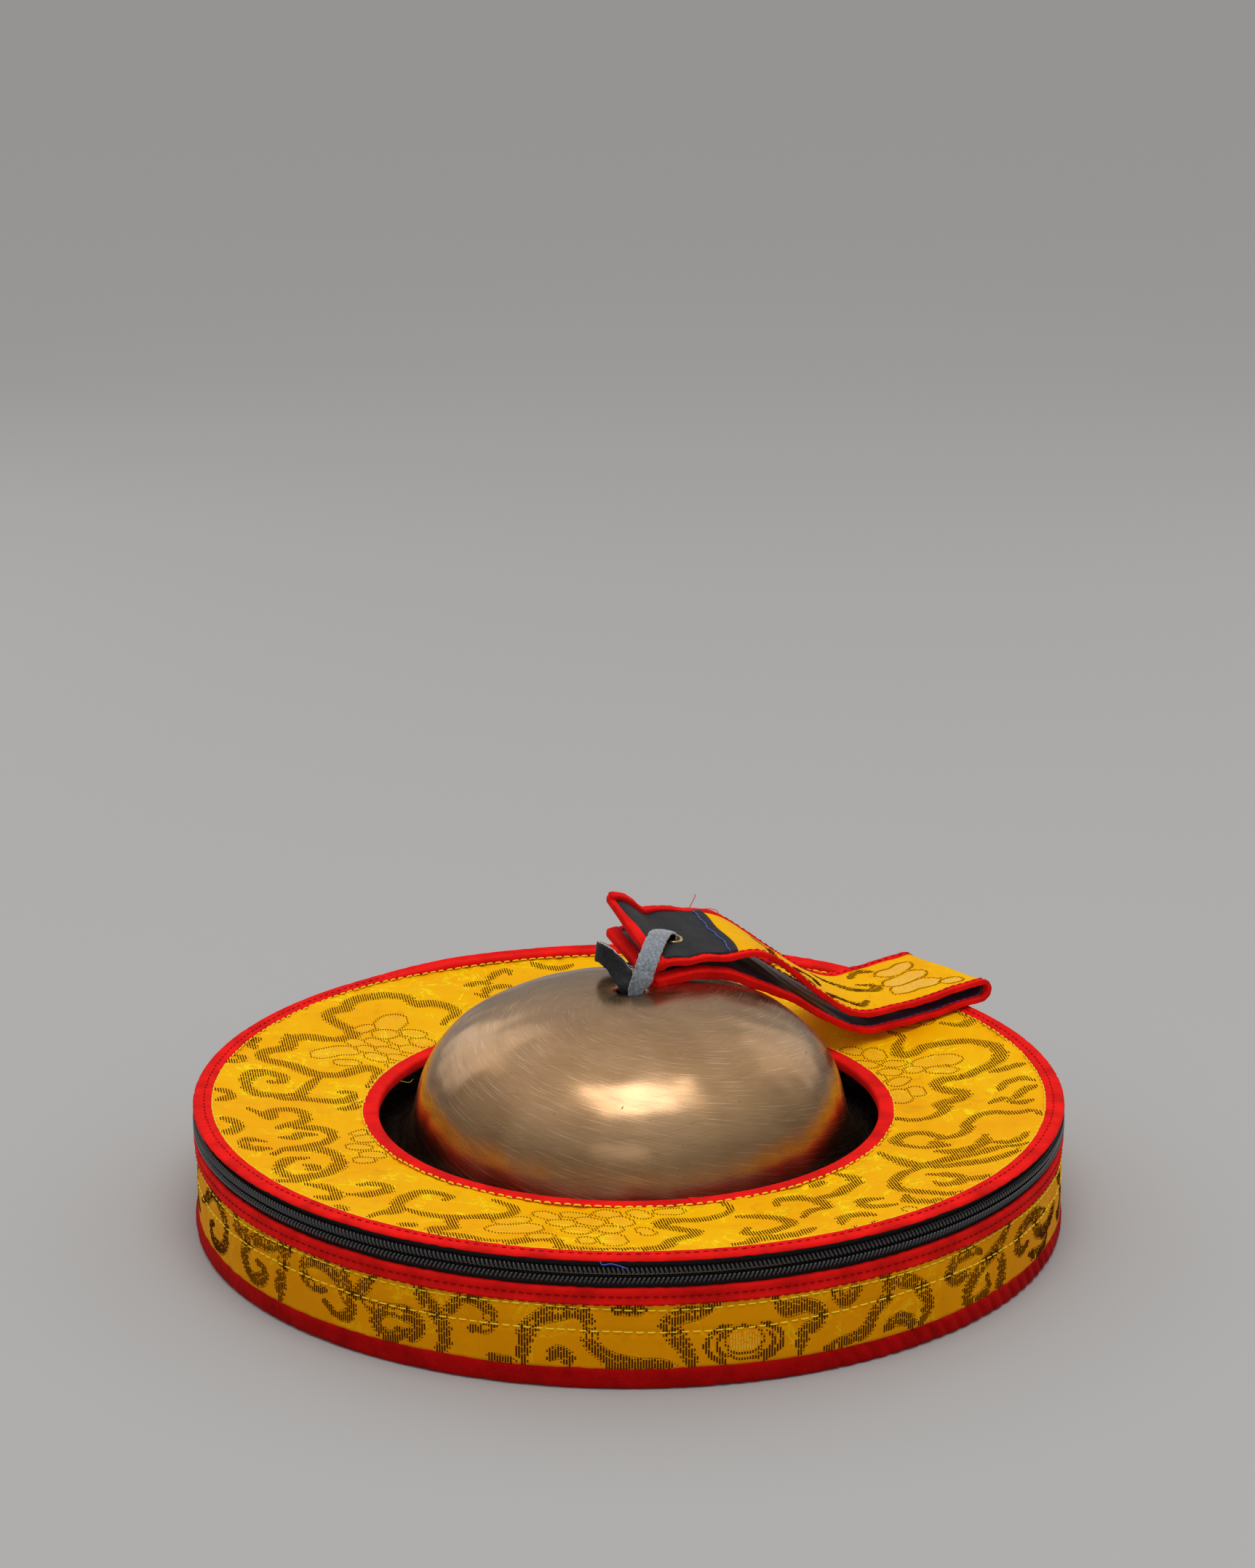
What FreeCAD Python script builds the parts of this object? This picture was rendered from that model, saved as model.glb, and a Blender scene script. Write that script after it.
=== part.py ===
"""A nested pair of big-bossed bronze hand cymbals in their round brocade zip case.

The upper cymbal's boss stands through a bound hole in the case's lid. A leather thong comes out
of the boss and holds a folded brocade hand strap, which lies over the boss and the lid.

Millimetres, +Z up. The origin is the centre of the case's underside, and -Y is its front.
Distances called r are radii, and angles of the case's wall are measured from the front, +X side
positive, so that 180 degrees is the back, where the lid is hinged.
"""
import FreeCAD, Part
import math
import os

os.makedirs("parts", exist_ok=True)
V = FreeCAD.Vector

# ---- driving dimensions -------------------------------------------------------------------
CASE_R = 150.0              # outer radius of the closed case, at its bound edges
WALL_R = 149.2              # face of the brocade wall
LID_EDGE_Z = 44.2           # top of the lid's fabric at its rim
LID_HOLE_Z = 39.6           # top of the lid's fabric at its hole, where the lid sags
LID_FLAT_R = 96.0           # inside this radius the sagged lid is level
HOLE_Y = -5.0               # the lid's hole lies this far forward of the case's centre
HOLE_R = 85.8               # clear radius of the bound hole
CYMBAL_X, CYMBAL_Y = 0.6, -4.1   # axis of the loose cymbals
PLATE_R = 139.0             # rim of the cymbals
PLATE_Z = 24.5              # top of the upper cymbal's plate beside the boss
RIM_RISE = 1.5              # the plate's rim is this much higher than that
BOSS_TOP_Z = 81.9
BOSS_R = 73.9               # widest part of the boss's rounded top
BOSS_WALL_Z = 34.6          # height at which the rounded top would stand upright
BOSS_T, PLATE_T = 2.4, 1.4  # bronze, hammered thicker in the boss
CORD_HOLE_R = 5.2
NEST = 18.5                 # the lower cymbal sits this much below the upper one
ZIP_END = 147.5             # angle of the last coil on each side
TAPE_END = 154.0
GUSSET_START = 154.5        # the fabric hinge fills the wall from here round the back
SLIDER_PARK = 151.0
COIL_IN, COIL_OUT = 148.05, 150.0
TAPE_IN, TAPE_OUT = 147.3, 148.0
CLEAR = 0.35                # running gap between pieces of different bodies
STRAP_W = 42.0
STRAP_EDGE = 3.0            # width of the red binding on each long edge
STRAP_YAW = 35.0            # the strap lies towards the back right
STRAP_TIP = (128.9, 83.8)   # front corner of the strap's fold
STRAP_FRONT = (0.0, 146.0)  # the front edge's two ends, measured back from that corner
STRAP_BACK = (5.0, 137.0)   # and the back edge's
FOLD_R = 2.9                # half the distance between the strap's two layers at the fold
STRAP_STEPS = 36            # stations along each layer of the strap
EYELET_AT = 0.885           # place of the eyelets along the strap, from fold to ends
EYELET_ACROSS = 0.42        # and across it, from the front edge

# each edge of each layer rises from the lid to the boss: low, high, and where the rise is
UPPER_FRONT_RISE = (51.4, 88.0, 50.0, 112.0)
UPPER_BACK_RISE = (51.6, 92.0, 34.0, 110.0)
LOWER_FRONT_RISE = (45.6, 83.8, 46.0, 126.0)
LOWER_BACK_RISE = (45.8, 88.4, 32.0, 116.0)
FLAP_RISE = 8.0             # the upper layer's back corner is turned up by this much
FLAP_START = 125.0
BACK_CREASE = (121.0, 4.5, 1.9)     # the upper layer is creased there: place, half width, depth
FRONT_CREASE = (130.5, 5.0, 1.5)
TIP_RISE = 2.8              # and the folded end stands this much clear of the lid's rim
TIP_RISE_END = 38.0


# ---- shape helpers ------------------------------------------------------------------------
def save(name, shape):
    """Write one node's STEP file."""
    shape.exportStep("parts/" + name + ".step")


def turned(outline, start=0.0, sweep=360.0, centre=(0.0, 0.0)):
    """Turn a closed outline of (r, z) points about Z; start and sweep are wall angles."""
    points = [V(r, 0, z) for r, z in outline]
    face = Part.Face(Part.makePolygon(points + points[:1]))
    solid = face.revolve(V(0, 0, 0), V(0, 0, 1), sweep)
    solid.rotate(V(0, 0, 0), V(0, 0, 1), start - 90.0)
    solid.translate(V(centre[0], centre[1], 0))
    return solid


def ring(r_in, r_out, low, high, start=0.0, sweep=360.0, centre=(0.0, 0.0)):
    """A plain ring or part of a ring of rectangular section."""
    outline = [(r_in, low), (r_out, low), (r_out, high), (r_in, high)]
    return turned(outline, start, sweep, centre)


def disc(radius, low, high, centre=(0.0, 0.0)):
    return Part.makeCylinder(radius, high - low, V(centre[0], centre[1], low))


def faceted(points_by_station):
    """A closed solid through stations of four corners each, with flat triangular faces."""
    faces = []

    def triangle(a, b, c):
        faces.append(Part.Face(Part.makePolygon([a, b, c, a])))

    for here, there in zip(points_by_station, points_by_station[1:]):
        for k in (0, 1):
            triangle(here[k], here[k + 1], there[k + 1])
            triangle(here[k], there[k + 1], there[k])
        for k in (2, 3):
            n = (k + 1) % 4
            triangle(here[k], here[n], there[k])
            triangle(here[n], there[n], there[k])
    for a, b, c, d in (points_by_station[0], points_by_station[-1]):
        triangle(a, b, c)
        triangle(a, c, d)
    shell = Part.Shell(faces)
    solid = Part.Solid(shell)
    if solid.Volume < 0:
        solid.reverse()
    return solid


def ribbon(front, back, under, over):
    """A strip between two edge lines, filling under..over along its own normal."""
    stations = []
    last = len(front) - 1
    for i in range(last + 1):
        a, b = max(i - 1, 0), min(i + 1, last)
        along = (front[b] + back[b]) - (front[a] + back[a])
        normal = along.cross(back[i] - front[i]).normalize()
        low, high = normal * under, normal * over
        stations.append([front[i] + low, back[i] + low, back[i] + high, front[i] + high])
    return faceted(stations)


def between(front, back, near, far):
    """The two edge lines of a narrower strip, near and far mm in from the front edge."""
    first, second = [], []
    for f, b in zip(front, back):
        across = (b - f).normalize()
        first.append(f + across * near)
        second.append(f + across * far)
    return first, second


def smooth(t):
    t = min(max(t, 0.0), 1.0)
    return t * t * (3.0 - 2.0 * t)


# ---- the case ------------------------------------------------------------------------------
BASE_COVER_T, BASE_BOARD_T, BASE_LINING_T = 0.8, 2.0, 1.0
BASE_R = 144.0
PIPING_IN_R = 145.5
FLOOR_Z = BASE_COVER_T + BASE_BOARD_T + BASE_LINING_T
PIPING_H = 7.2
BAND_Z, BAND_TOP_Z = 28.7, 34.6     # the red band below the zip
LINING_R, LINING_OUT_R, LINING_TOP_Z = 144.2, 144.9, 34.0
PADDING_IN_R, PADDING_OUT_R, PADDING_TOP_Z = 144.95, 147.25, 33.0
PANEL_IN_R = 147.3                   # inner face of the wall's brocade and of the fabric hinge
GUSSET_OUT_R = 149.0
COIL_Z = (35.7, 38.25, 39.35, 41.9)  # lower coil's foot and top, upper coil's foot and top
LID_EDGE_FOOT = 43.65
HINGE_Z = 40.0


def make_case():
    board_top = BASE_COVER_T + BASE_BOARD_T
    save("base_cover", disc(PIPING_IN_R - 0.1, 0.0, BASE_COVER_T))
    save("base_board", disc(BASE_R, BASE_COVER_T, board_top))
    save("base_lining", disc(BASE_R, board_top, FLOOR_Z))
    piping = [(PIPING_IN_R, 0.0), (148.6, 0.0), (149.7, 0.7), (CASE_R, 2.0), (CASE_R, 5.2),
              (149.6, 6.6), (148.8, PIPING_H), (PIPING_IN_R, PIPING_H)]
    save("bottom_piping", turned(piping))
    save("wall_lining", ring(LINING_R, LINING_OUT_R, FLOOR_Z, LINING_TOP_Z))
    foot = PIPING_H + 0.05
    save("wall_padding", ring(PADDING_IN_R, PADDING_OUT_R, foot, PADDING_TOP_Z))
    save("wall_cover", ring(PANEL_IN_R, WALL_R, PIPING_H, BAND_Z))
    band = [(TAPE_OUT, BAND_Z), (149.5, BAND_Z), (149.4, 31.8), (149.8, 32.6), (149.8, 33.9),
            (149.3, BAND_TOP_Z), (TAPE_OUT, BAND_TOP_Z)]
    save("zip_band", turned(band))
    tape = ring(TAPE_IN, TAPE_OUT, BAND_Z, COIL_Z[1], -TAPE_END, 2 * TAPE_END)
    save("lower_zip_tape", tape)
    coil = ring(COIL_IN, COIL_OUT, COIL_Z[0], COIL_Z[1], -ZIP_END, 2 * ZIP_END)
    save("lower_zip_coil", coil)
    sweep = 360.0 - 2 * GUSSET_START
    gusset = ring(PANEL_IN_R, GUSSET_OUT_R, BAND_TOP_Z, HINGE_Z - 0.6, GUSSET_START, sweep)
    save("hinge_gusset", gusset)


# ---- the lid -------------------------------------------------------------------------------
LID_COVER_T, LID_BOARD_T, LID_LINING_T = 0.8, 1.4, 0.6
LID_LAYERS_R = 147.2
LID_RIM_IN_R = 144.0        # the lid's layers are level outside this, under the rim's binding
WEB_T = 1.4                 # the binding folds over this much of tape inside the lid's hole
BINDING_W = 5.5             # of the binding round the hole
BINDING_T = 0.65


def lid_layer(top_drop, thickness, hole):
    """One layer of the lid: level round the hole, and rising to the rim."""
    inside = HOLE_R - 20.0
    top = [(LID_LAYERS_R, LID_EDGE_Z), (LID_RIM_IN_R, LID_EDGE_Z), (LID_FLAT_R, LID_HOLE_Z),
           (inside, LID_HOLE_Z)]
    upper = [(r, z - top_drop) for r, z in top]
    lower = [(r, z - thickness) for r, z in reversed(upper)]
    whole = turned(upper + lower)
    return whole.cut(disc(hole, 0.0, 2 * LID_EDGE_Z, (0.0, HOLE_Y)))


def make_lid():
    web_r = HOLE_R + WEB_T
    save("lid_cover", lid_layer(0.0, LID_COVER_T, web_r))
    save("lid_board", lid_layer(LID_COVER_T, LID_BOARD_T, web_r))
    save("lid_lining", lid_layer(LID_COVER_T + LID_BOARD_T, LID_LINING_T, web_r))
    inner = LID_LAYERS_R + 0.05
    rim = [(LID_RIM_IN_R, LID_EDGE_Z), (inner, LID_EDGE_Z), (inner, LID_EDGE_FOOT),
           (CASE_R, LID_EDGE_FOOT), (CASE_R, 44.3), (149.6, 44.8), (148.9, 45.0),
           (LID_RIM_IN_R, 44.9)]
    save("lid_binding", turned(rim))
    top = LID_HOLE_Z + 0.3
    foot = LID_HOLE_Z - LID_COVER_T - LID_BOARD_T - LID_LINING_T
    over = HOLE_R + BINDING_W
    edge = [(HOLE_R, foot), (HOLE_R + 0.6, foot - BINDING_T), (over, foot - BINDING_T),
            (over, foot), (web_r, foot), (web_r, top), (over, top), (over, top + BINDING_T),
            (HOLE_R + 0.6, top + BINDING_T), (HOLE_R, top)]
    save("hole_binding", turned(edge, centre=(0.0, HOLE_Y)))
    tape = ring(TAPE_IN, TAPE_OUT, COIL_Z[2], LID_EDGE_FOOT, -TAPE_END, 2 * TAPE_END)
    save("upper_zip_tape", tape)
    coil = ring(COIL_IN, COIL_OUT, COIL_Z[2], COIL_Z[3], -ZIP_END, 2 * ZIP_END)
    save("upper_zip_coil", coil)
    sweep = 360.0 - 2 * GUSSET_START
    flap = ring(PANEL_IN_R, GUSSET_OUT_R, HINGE_Z + 0.1, LID_EDGE_FOOT, GUSSET_START, sweep)
    save("lid_hinge_flap", flap)


# ---- the zip's slider and pull ---------------------------------------------------------------
PLATE_OUT_R = COIL_OUT + CLEAR       # inner face of the slider's outer plate
SLIDER_HALF = 2.3                    # half the slider's length, in degrees of the wall
SLIDER_TOP_Z = 42.9
INNER_PLATE = (145.9, 35.6, 41.0)    # of the slider: inner radius, foot and top
OUTER_PLATE_T = 1.1
NECK_Z = (38.55, 39.05)
BRIDGE_Z = 38.8                      # mid height of the bridge and of the pull
PIN_R = PLATE_OUT_R + 2.35           # the pull turns about an upright pin at this radius
PIN_D = 1.2


def make_slider():
    start, sweep = SLIDER_PARK - SLIDER_HALF, 2 * SLIDER_HALF
    low, high = BAND_TOP_Z + CLEAR, SLIDER_TOP_Z
    face = PLATE_OUT_R
    crown = face + OUTER_PLATE_T
    outer = ring(face, crown, low, high, start, sweep)
    inner_r, inner_low, inner_high = INNER_PLATE
    inner = ring(inner_r, TAPE_IN - CLEAR, inner_low, inner_high, start, sweep)
    lip = TAPE_OUT + 0.4
    top_lip = ring(lip, face, COIL_Z[3] + CLEAR, high, start, sweep)
    bottom_lip = ring(lip, face, low, COIL_Z[0] - 0.3, start, sweep)
    neck = ring(TAPE_IN - CLEAR, face, NECK_Z[0], NECK_Z[1], start + 0.2, 1.5)
    deg = math.degrees(1.0 / crown)      # one millimetre round the slider's face
    top, low, high = crown + 3.0, BRIDGE_Z - 1, BRIDGE_Z + 1
    foot_a = ring(crown, top, low, high, SLIDER_PARK - 4 * deg, deg)
    foot_b = ring(crown, top, low, high, SLIDER_PARK + 3 * deg, deg)
    bar = ring(top - 0.8, top, low, high, SLIDER_PARK - 4 * deg, 8 * deg)
    slider = outer
    for piece in (inner, top_lip, bottom_lip, neck, foot_a, foot_b, bar):
        slider = slider.fuse(piece)
    save("zip_slider", slider.removeSplitter())


def make_pull():
    """Built lying along +Y from its pin, face towards +X, then turned into place."""
    arm_in, arm_out = 1.45, 2.35
    pin = Part.makeCylinder(PIN_D / 2, 2 * arm_out, V(0, 0, -arm_out))
    pull = pin
    for side in (-1, 1):
        z = arm_in if side > 0 else -arm_out
        pull = pull.fuse(Part.makeBox(1.0, 7.0, arm_out - arm_in, V(-0.5, 0, z)))
    tab = Part.makeBox(1.0, 16.0, 6.4, V(-0.5, 6.0, -3.2))
    upright = [e for e in tab.Edges if abs(e.tangentAt(e.FirstParameter).x) > 0.9]
    tab = tab.makeFillet(2.4, upright)
    finger = Part.makeCylinder(1.5, 3.0, V(-1.5, 18.2, 0), V(1, 0, 0))
    pull = pull.fuse(tab).cut(finger).removeSplitter()
    pull.rotate(V(0, 0, 0), V(0, 0, 1), SLIDER_PARK - 90.0)
    angle = math.radians(SLIDER_PARK - 90.0)
    pull.translate(V(PIN_R * math.cos(angle), PIN_R * math.sin(angle), BRIDGE_Z))
    save("zip_pull", pull)


# ---- the cymbals -----------------------------------------------------------------------------
FOOT_R = 92.0
FLARE = [(73.45, 44.5), (74.3, 41.0), (75.2, 37.5), (76.6, 33.5), (78.6, 29.6),
         (82.0, 26.6), (86.6, 25.1), (FOOT_R, PLATE_Z)]
ROUND_SINE, ROUND_COSINE = 2 / 2.27, 2 / 2.54   # how square the rounded top is


def boss_outline():
    """Outside of the boss from the cord hole down to the plate."""
    points = []
    height = BOSS_TOP_Z - BOSS_WALL_Z
    for step in range(3, 27):
        a = math.radians(step * 3.0)
        r = BOSS_R * math.sin(a) ** ROUND_SINE
        z = BOSS_WALL_Z + height * math.cos(a) ** ROUND_COSINE
        if r > CORD_HOLE_R + 4 and z > FLARE[0][1] + 3:
            points.append((r, z))
    return [(CORD_HOLE_R, BOSS_TOP_Z - 0.02)] + points + FLARE


def inside_of(points):
    """The same line moved inwards by the bronze's thickness, which thins towards the plate."""
    inner = []
    last = len(points) - 1
    for i, (r, z) in enumerate(points):
        a, b = points[max(i - 1, 0)], points[min(i + 1, last)]
        along = V(b[0] - a[0], b[1] - a[1], 0).normalize()
        thin = BOSS_T + (PLATE_T - BOSS_T) * smooth((r - BOSS_R) / (FOOT_R - BOSS_R))
        if i == 0:
            along = V(1, 0, 0)
        if i == last:
            along = V(1, 0, 0)
        inner.append((r + along.y * thin, z - along.x * thin))
    return inner


def cymbal(drop):
    outside = boss_outline()
    inside = inside_of(outside)
    rim_z = PLATE_Z + RIM_RISE
    over = Part.BSplineCurve()
    over.interpolate([V(r, 0, z) for r, z in outside])
    under = Part.BSplineCurve()
    under.interpolate([V(r, 0, z) for r, z in reversed(inside)])
    foot_over, foot_under = V(FOOT_R, 0, PLATE_Z), V(FOOT_R, 0, PLATE_Z - PLATE_T)
    rim_over, rim_under = V(PLATE_R - 0.7, 0, rim_z), V(PLATE_R - 0.7, 0, rim_z - PLATE_T)
    edges = [
        over.toShape(),
        Part.LineSegment(foot_over, rim_over).toShape(),
        Part.Arc(rim_over, V(PLATE_R, 0, rim_z - PLATE_T / 2), rim_under).toShape(),
        Part.LineSegment(rim_under, foot_under).toShape(),
        under.toShape(),
        Part.LineSegment(V(inside[0][0], 0, inside[0][1]), V(*xz(outside[0]))).toShape(),
    ]
    solid = Part.Face(Part.Wire(edges)).revolve(V(0, 0, 0), V(0, 0, 1), 360)
    solid.translate(V(CYMBAL_X, CYMBAL_Y, -drop))
    return solid


def xz(point):
    return point[0], 0, point[1]


WASHER_T = 1.8


def make_cymbal_fittings(prefix, drop):
    """The leather washer and the knot that hold the thong inside a boss."""
    centre = (CYMBAL_X, CYMBAL_Y)
    top = BOSS_TOP_Z - BOSS_T - 0.5 - drop
    save(prefix + "_washer", ring(4.8, 11.0, top - WASHER_T, top, centre=centre))
    knot_top = top - WASHER_T
    knot = [(0.0, knot_top), (4.2, knot_top), (5.8, knot_top - 1.2), (5.8, knot_top - 2.2),
            (4.2, knot_top - 3.2), (0.0, knot_top - 3.2)]
    save(prefix + "_knot", turned(knot, centre=centre))
    return knot_top


# ---- the hand strap on the upper cymbal ------------------------------------------------------
def crease(s, place, half_width, depth):
    return depth * math.exp(-((s - place) / half_width) ** 2)


def strap_point(back_edge, t, rise):
    """A point of a strap edge: t is 0 at the fold and 1 at the ends."""
    near, far = STRAP_BACK if back_edge else STRAP_FRONT
    s = near + (far - near) * t
    yaw = math.radians(STRAP_YAW)
    x = STRAP_TIP[0] - s * math.cos(yaw)
    y = STRAP_TIP[1] - s * math.sin(yaw)
    if back_edge:
        x -= STRAP_W * math.sin(yaw)
        y += STRAP_W * math.cos(yaw)
    low, high, start, end = rise
    z = low + (high - low) * smooth((s - start) / (end - start))
    z += TIP_RISE * (1.0 - smooth(s / TIP_RISE_END))
    if rise is UPPER_BACK_RISE:
        z += FLAP_RISE * smooth((s - FLAP_START) / (STRAP_BACK[1] - FLAP_START))
        z -= crease(s, *BACK_CREASE)
    if rise is UPPER_FRONT_RISE:
        z -= crease(s, *FRONT_CREASE)
    return V(x, y, z)


def strap_edges():
    """Front and back edge lines, from the upper layer's end, round the fold, to the lower's."""
    front = []
    back = []
    for i in range(STRAP_STEPS, -1, -1):
        front.append(strap_point(False, i / STRAP_STEPS, UPPER_FRONT_RISE))
        back.append(strap_point(True, i / STRAP_STEPS, UPPER_BACK_RISE))
    yaw = math.radians(STRAP_YAW)
    heading = V(math.cos(yaw), math.sin(yaw), 0)
    tips = []
    for turn in range(30, 180, 30):
        a = math.radians(turn)
        tips.append((math.sin(a) * FOLD_R, math.cos(a) * FOLD_R))
    front_mid, back_mid = front[-1] - V(0, 0, FOLD_R), back[-1] - V(0, 0, FOLD_R)
    for out, up in tips:
        front.append(front_mid + heading * out + V(0, 0, up))
        back.append(back_mid + heading * out + V(0, 0, up))
    for i in range(STRAP_STEPS + 1):
        front.append(strap_point(False, i / STRAP_STEPS, LOWER_FRONT_RISE))
        back.append(strap_point(True, i / STRAP_STEPS, LOWER_BACK_RISE))
    return front, back


LINING_T, BROCADE_T, PATCH_T = 0.6, 1.0, 0.8
PLY_GAP = 0.05              # between layers that are sewn together
EDGE_UNDER, EDGE_OVER = -0.8, 1.3
EYELET_R, EYELET_HOLE_R, EYELET_FLANGE_R = 2.75, 2.2, 3.3
EYELET_FLANGE_T = 0.4
EYELET_SUNK = 0.3           # the flanges are pressed this far into the leather
PATCH_STATIONS = 10


def eyelet_frame(front, back, index):
    """Centre of an eyelet and the strap's outward normal at a station."""
    centre = front[index] * (1.0 - EYELET_ACROSS) + back[index] * EYELET_ACROSS
    along = (front[index + 1] + back[index + 1]) - (front[index - 1] + back[index - 1])
    normal = along.cross(back[index] - front[index]).normalize()
    return centre, normal


def eyelet(centre, normal):
    foot, seat = -0.9, BROCADE_T + PATCH_T - EYELET_SUNK
    top = seat + EYELET_FLANGE_T
    tube = Part.makeCylinder(EYELET_R, top - foot, centre + normal * foot, normal)
    flange = Part.makeCylinder(EYELET_FLANGE_R, EYELET_FLANGE_T, centre + normal * seat, normal)
    bore = Part.makeCylinder(EYELET_HOLE_R, 2 * top, centre - normal * top, normal)
    return tube.fuse(flange).cut(bore).removeSplitter()


def make_strap():
    front, back = strap_edges()
    inner = between(front, back, STRAP_EDGE + PLY_GAP, STRAP_W - STRAP_EDGE - PLY_GAP)
    band = ribbon(inner[0], inner[1], 0.0, BROCADE_T)
    lining = ribbon(inner[0], inner[1], -LINING_T, -PLY_GAP)
    last = len(front) - 1
    upper_at = round(STRAP_STEPS * (1.0 - EYELET_AT))
    lower_at = last - upper_at
    patches = []
    for name, first in (("upper_patch_top", 0), ("upper_patch_bottom", last - PATCH_STATIONS)):
        stretch = slice(first, first + PATCH_STATIONS + 1)
        patch = ribbon(inner[0][stretch], inner[1][stretch], BROCADE_T + 2 * PLY_GAP,
                       BROCADE_T + PATCH_T)
        patches.append((name, patch))
    eyelets = []
    for name, index in (("upper_eyelet_top", upper_at), ("upper_eyelet_bottom", lower_at)):
        centre, normal = eyelet_frame(front, back, index)
        eyelets.append((name, eyelet(centre, normal)))
        hole = Part.makeCylinder(EYELET_R, 8.0, centre - normal * 3.0, normal)
        floor = BROCADE_T + PATCH_T - EYELET_SUNK - PLY_GAP
        recess = Part.makeCylinder(EYELET_FLANGE_R + PLY_GAP, 4.0, centre + normal * floor, normal)
        hole = hole.fuse(recess)
        band = band.cut(hole)
        lining = lining.cut(hole)
        patches = [(n, p.cut(hole)) for n, p in patches]
    save("upper_strap_band", band)
    save("upper_strap_lining", lining)
    for name, solid in patches + eyelets:
        save(name, solid)
    edge = between(front, back, 0.0, STRAP_EDGE)
    save("upper_strap_front_binding", ribbon(edge[0], edge[1], EDGE_UNDER, EDGE_OVER))
    edge = between(front, back, STRAP_W - STRAP_EDGE, STRAP_W)
    save("upper_strap_back_binding", ribbon(edge[0], edge[1], EDGE_UNDER, EDGE_OVER))
    return eyelet_frame(front, back, upper_at), eyelet_frame(front, back, lower_at)


# ---- the leather thong of the upper cymbal ---------------------------------------------------
THONG_W, THONG_T = 6.8, 1.4
THONG_IN_HOLE = 4.9         # its width where it comes through the boss's hole
THONG_PINCH = 3.0           # its width where it is drawn through the eyelets


def thong(stations):
    """A leather strip through stations of centre, direction of its width, and width."""
    front = [c - V(*w).normalize() * (width / 2) for c, w, width in stations]
    back = [c + V(*w).normalize() * (width / 2) for c, w, width in stations]
    return ribbon(front, back, -THONG_T / 2, THONG_T / 2)


def make_upper_thong(knot_top, top_eyelet, bottom_eyelet):
    """From the knot up the front of the hole, through both eyelets and back down its left side."""
    x, y = CYMBAL_X, CYMBAL_Y
    above, up = top_eyelet
    below, down = bottom_eyelet
    w, p = THONG_W, THONG_PINCH
    in_hole = THONG_IN_HOLE
    across = (1.0, 0.0, 0.0)
    stations = [
        (V(x + 1.6, y - 1.0, knot_top + CLEAR), across, in_hole),
        (V(x + 1.9, y - 1.0, 82.6), across, in_hole),
        (V(x + 3.9, y - 0.8, 86.3), (1.0, 0.1, -0.05), w),
        (V(x + 5.2, y + 1.6, 89.8), (1.0, 0.1, -0.1), w),
        (V(x + 6.7, y + 6.2, 92.6), (1.0, 0.1, -0.1), w),
        (V(x + 8.6, y + 14.1, 94.6), (1.0, 0.0, -0.1), w),
        (V(x + 10.4, y + 20.1, 95.7), (1.0, -0.3, -0.1), w),
        (above + up * 6.2 + V(-2.6, -4.2, 0), (0.8, -0.6, 0.0), p + 2.0),
        (above + up * 4.4 + V(-0.4, -0.6, 0), (0.8, -0.6, 0.0), p + 0.6),
        (above + up * 2.4, (0.8, -0.6, 0.0), p),
        (above - up * 1.6, (0.8, -0.6, 0.0), p),
        (below + down * 2.2, (0.6, -0.9, 0.0), p),
        (below + down * 3.7, (0.5, -1.0, 0.0), p),
        (below + down * 4.7 + V(-3.0, -1.6, 0.2), (0.4, -1.0, 0.1), p + 1.0),
        (V(x + 3.4, y + 25.2, 82.2), (0.3, -1.0, 0.05), w),
        (V(x - 3.0, y + 25.0, 83.0), (0.3, -1.0, 0.3), w),
        (V(x - 7.8, y + 23.6, 86.0), (0.25, -0.5, 0.9), w),
        (V(x - 10.8, y + 20.2, 89.0), (0.15, 0.1, 1.0), w),
        (V(x - 11.2, y + 16.4, 90.4), (0.12, 0.1, 1.0), w),
        (V(x - 9.4, y + 12.6, 90.6), (0.2, 0.0, 1.0), w),
        (V(x - 6.6, y + 9.0, 89.6), (0.45, 0.0, 0.9), w),
        (V(x - 4.0, y + 5.6, 87.6), (0.8, -0.1, 0.6), w),
        (V(x - 2.2, y + 2.8, 85.0), (1.0, -0.1, 0.2), w),
        (V(x - 1.5, y + 1.0, 82.4), across, in_hole),
        (V(x - 1.4, y + 1.0, knot_top + CLEAR), across, in_hole),
    ]
    save("upper_thong", thong(stations))


# ---- the lower cymbal's strap, folded flat between the two bosses ------------------------------
FOLDED_HALF, FOLDED_PITCH, FOLDED_T = 36.0, 1.7, 1.4
FOLDED_Z = 66.2
FOLDED_EYELET_X = -30.0


def folded_line():
    """Middle of the folded strap's thickness, as (x, z), over four runs and three folds."""
    points = []
    r = FOLDED_PITCH / 2
    for run in range(4):
        side = 1 if run % 2 == 0 else -1
        z = FOLDED_Z + run * FOLDED_PITCH
        points += [(-side * FOLDED_HALF, z), (0.0, z), (side * FOLDED_HALF, z)]
        if run < 3:
            for turn in (45, 90, 135):
                a = math.radians(turn)
                points.append((side * (FOLDED_HALF + r * math.sin(a)), z + r - r * math.cos(a)))
    return points


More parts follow.
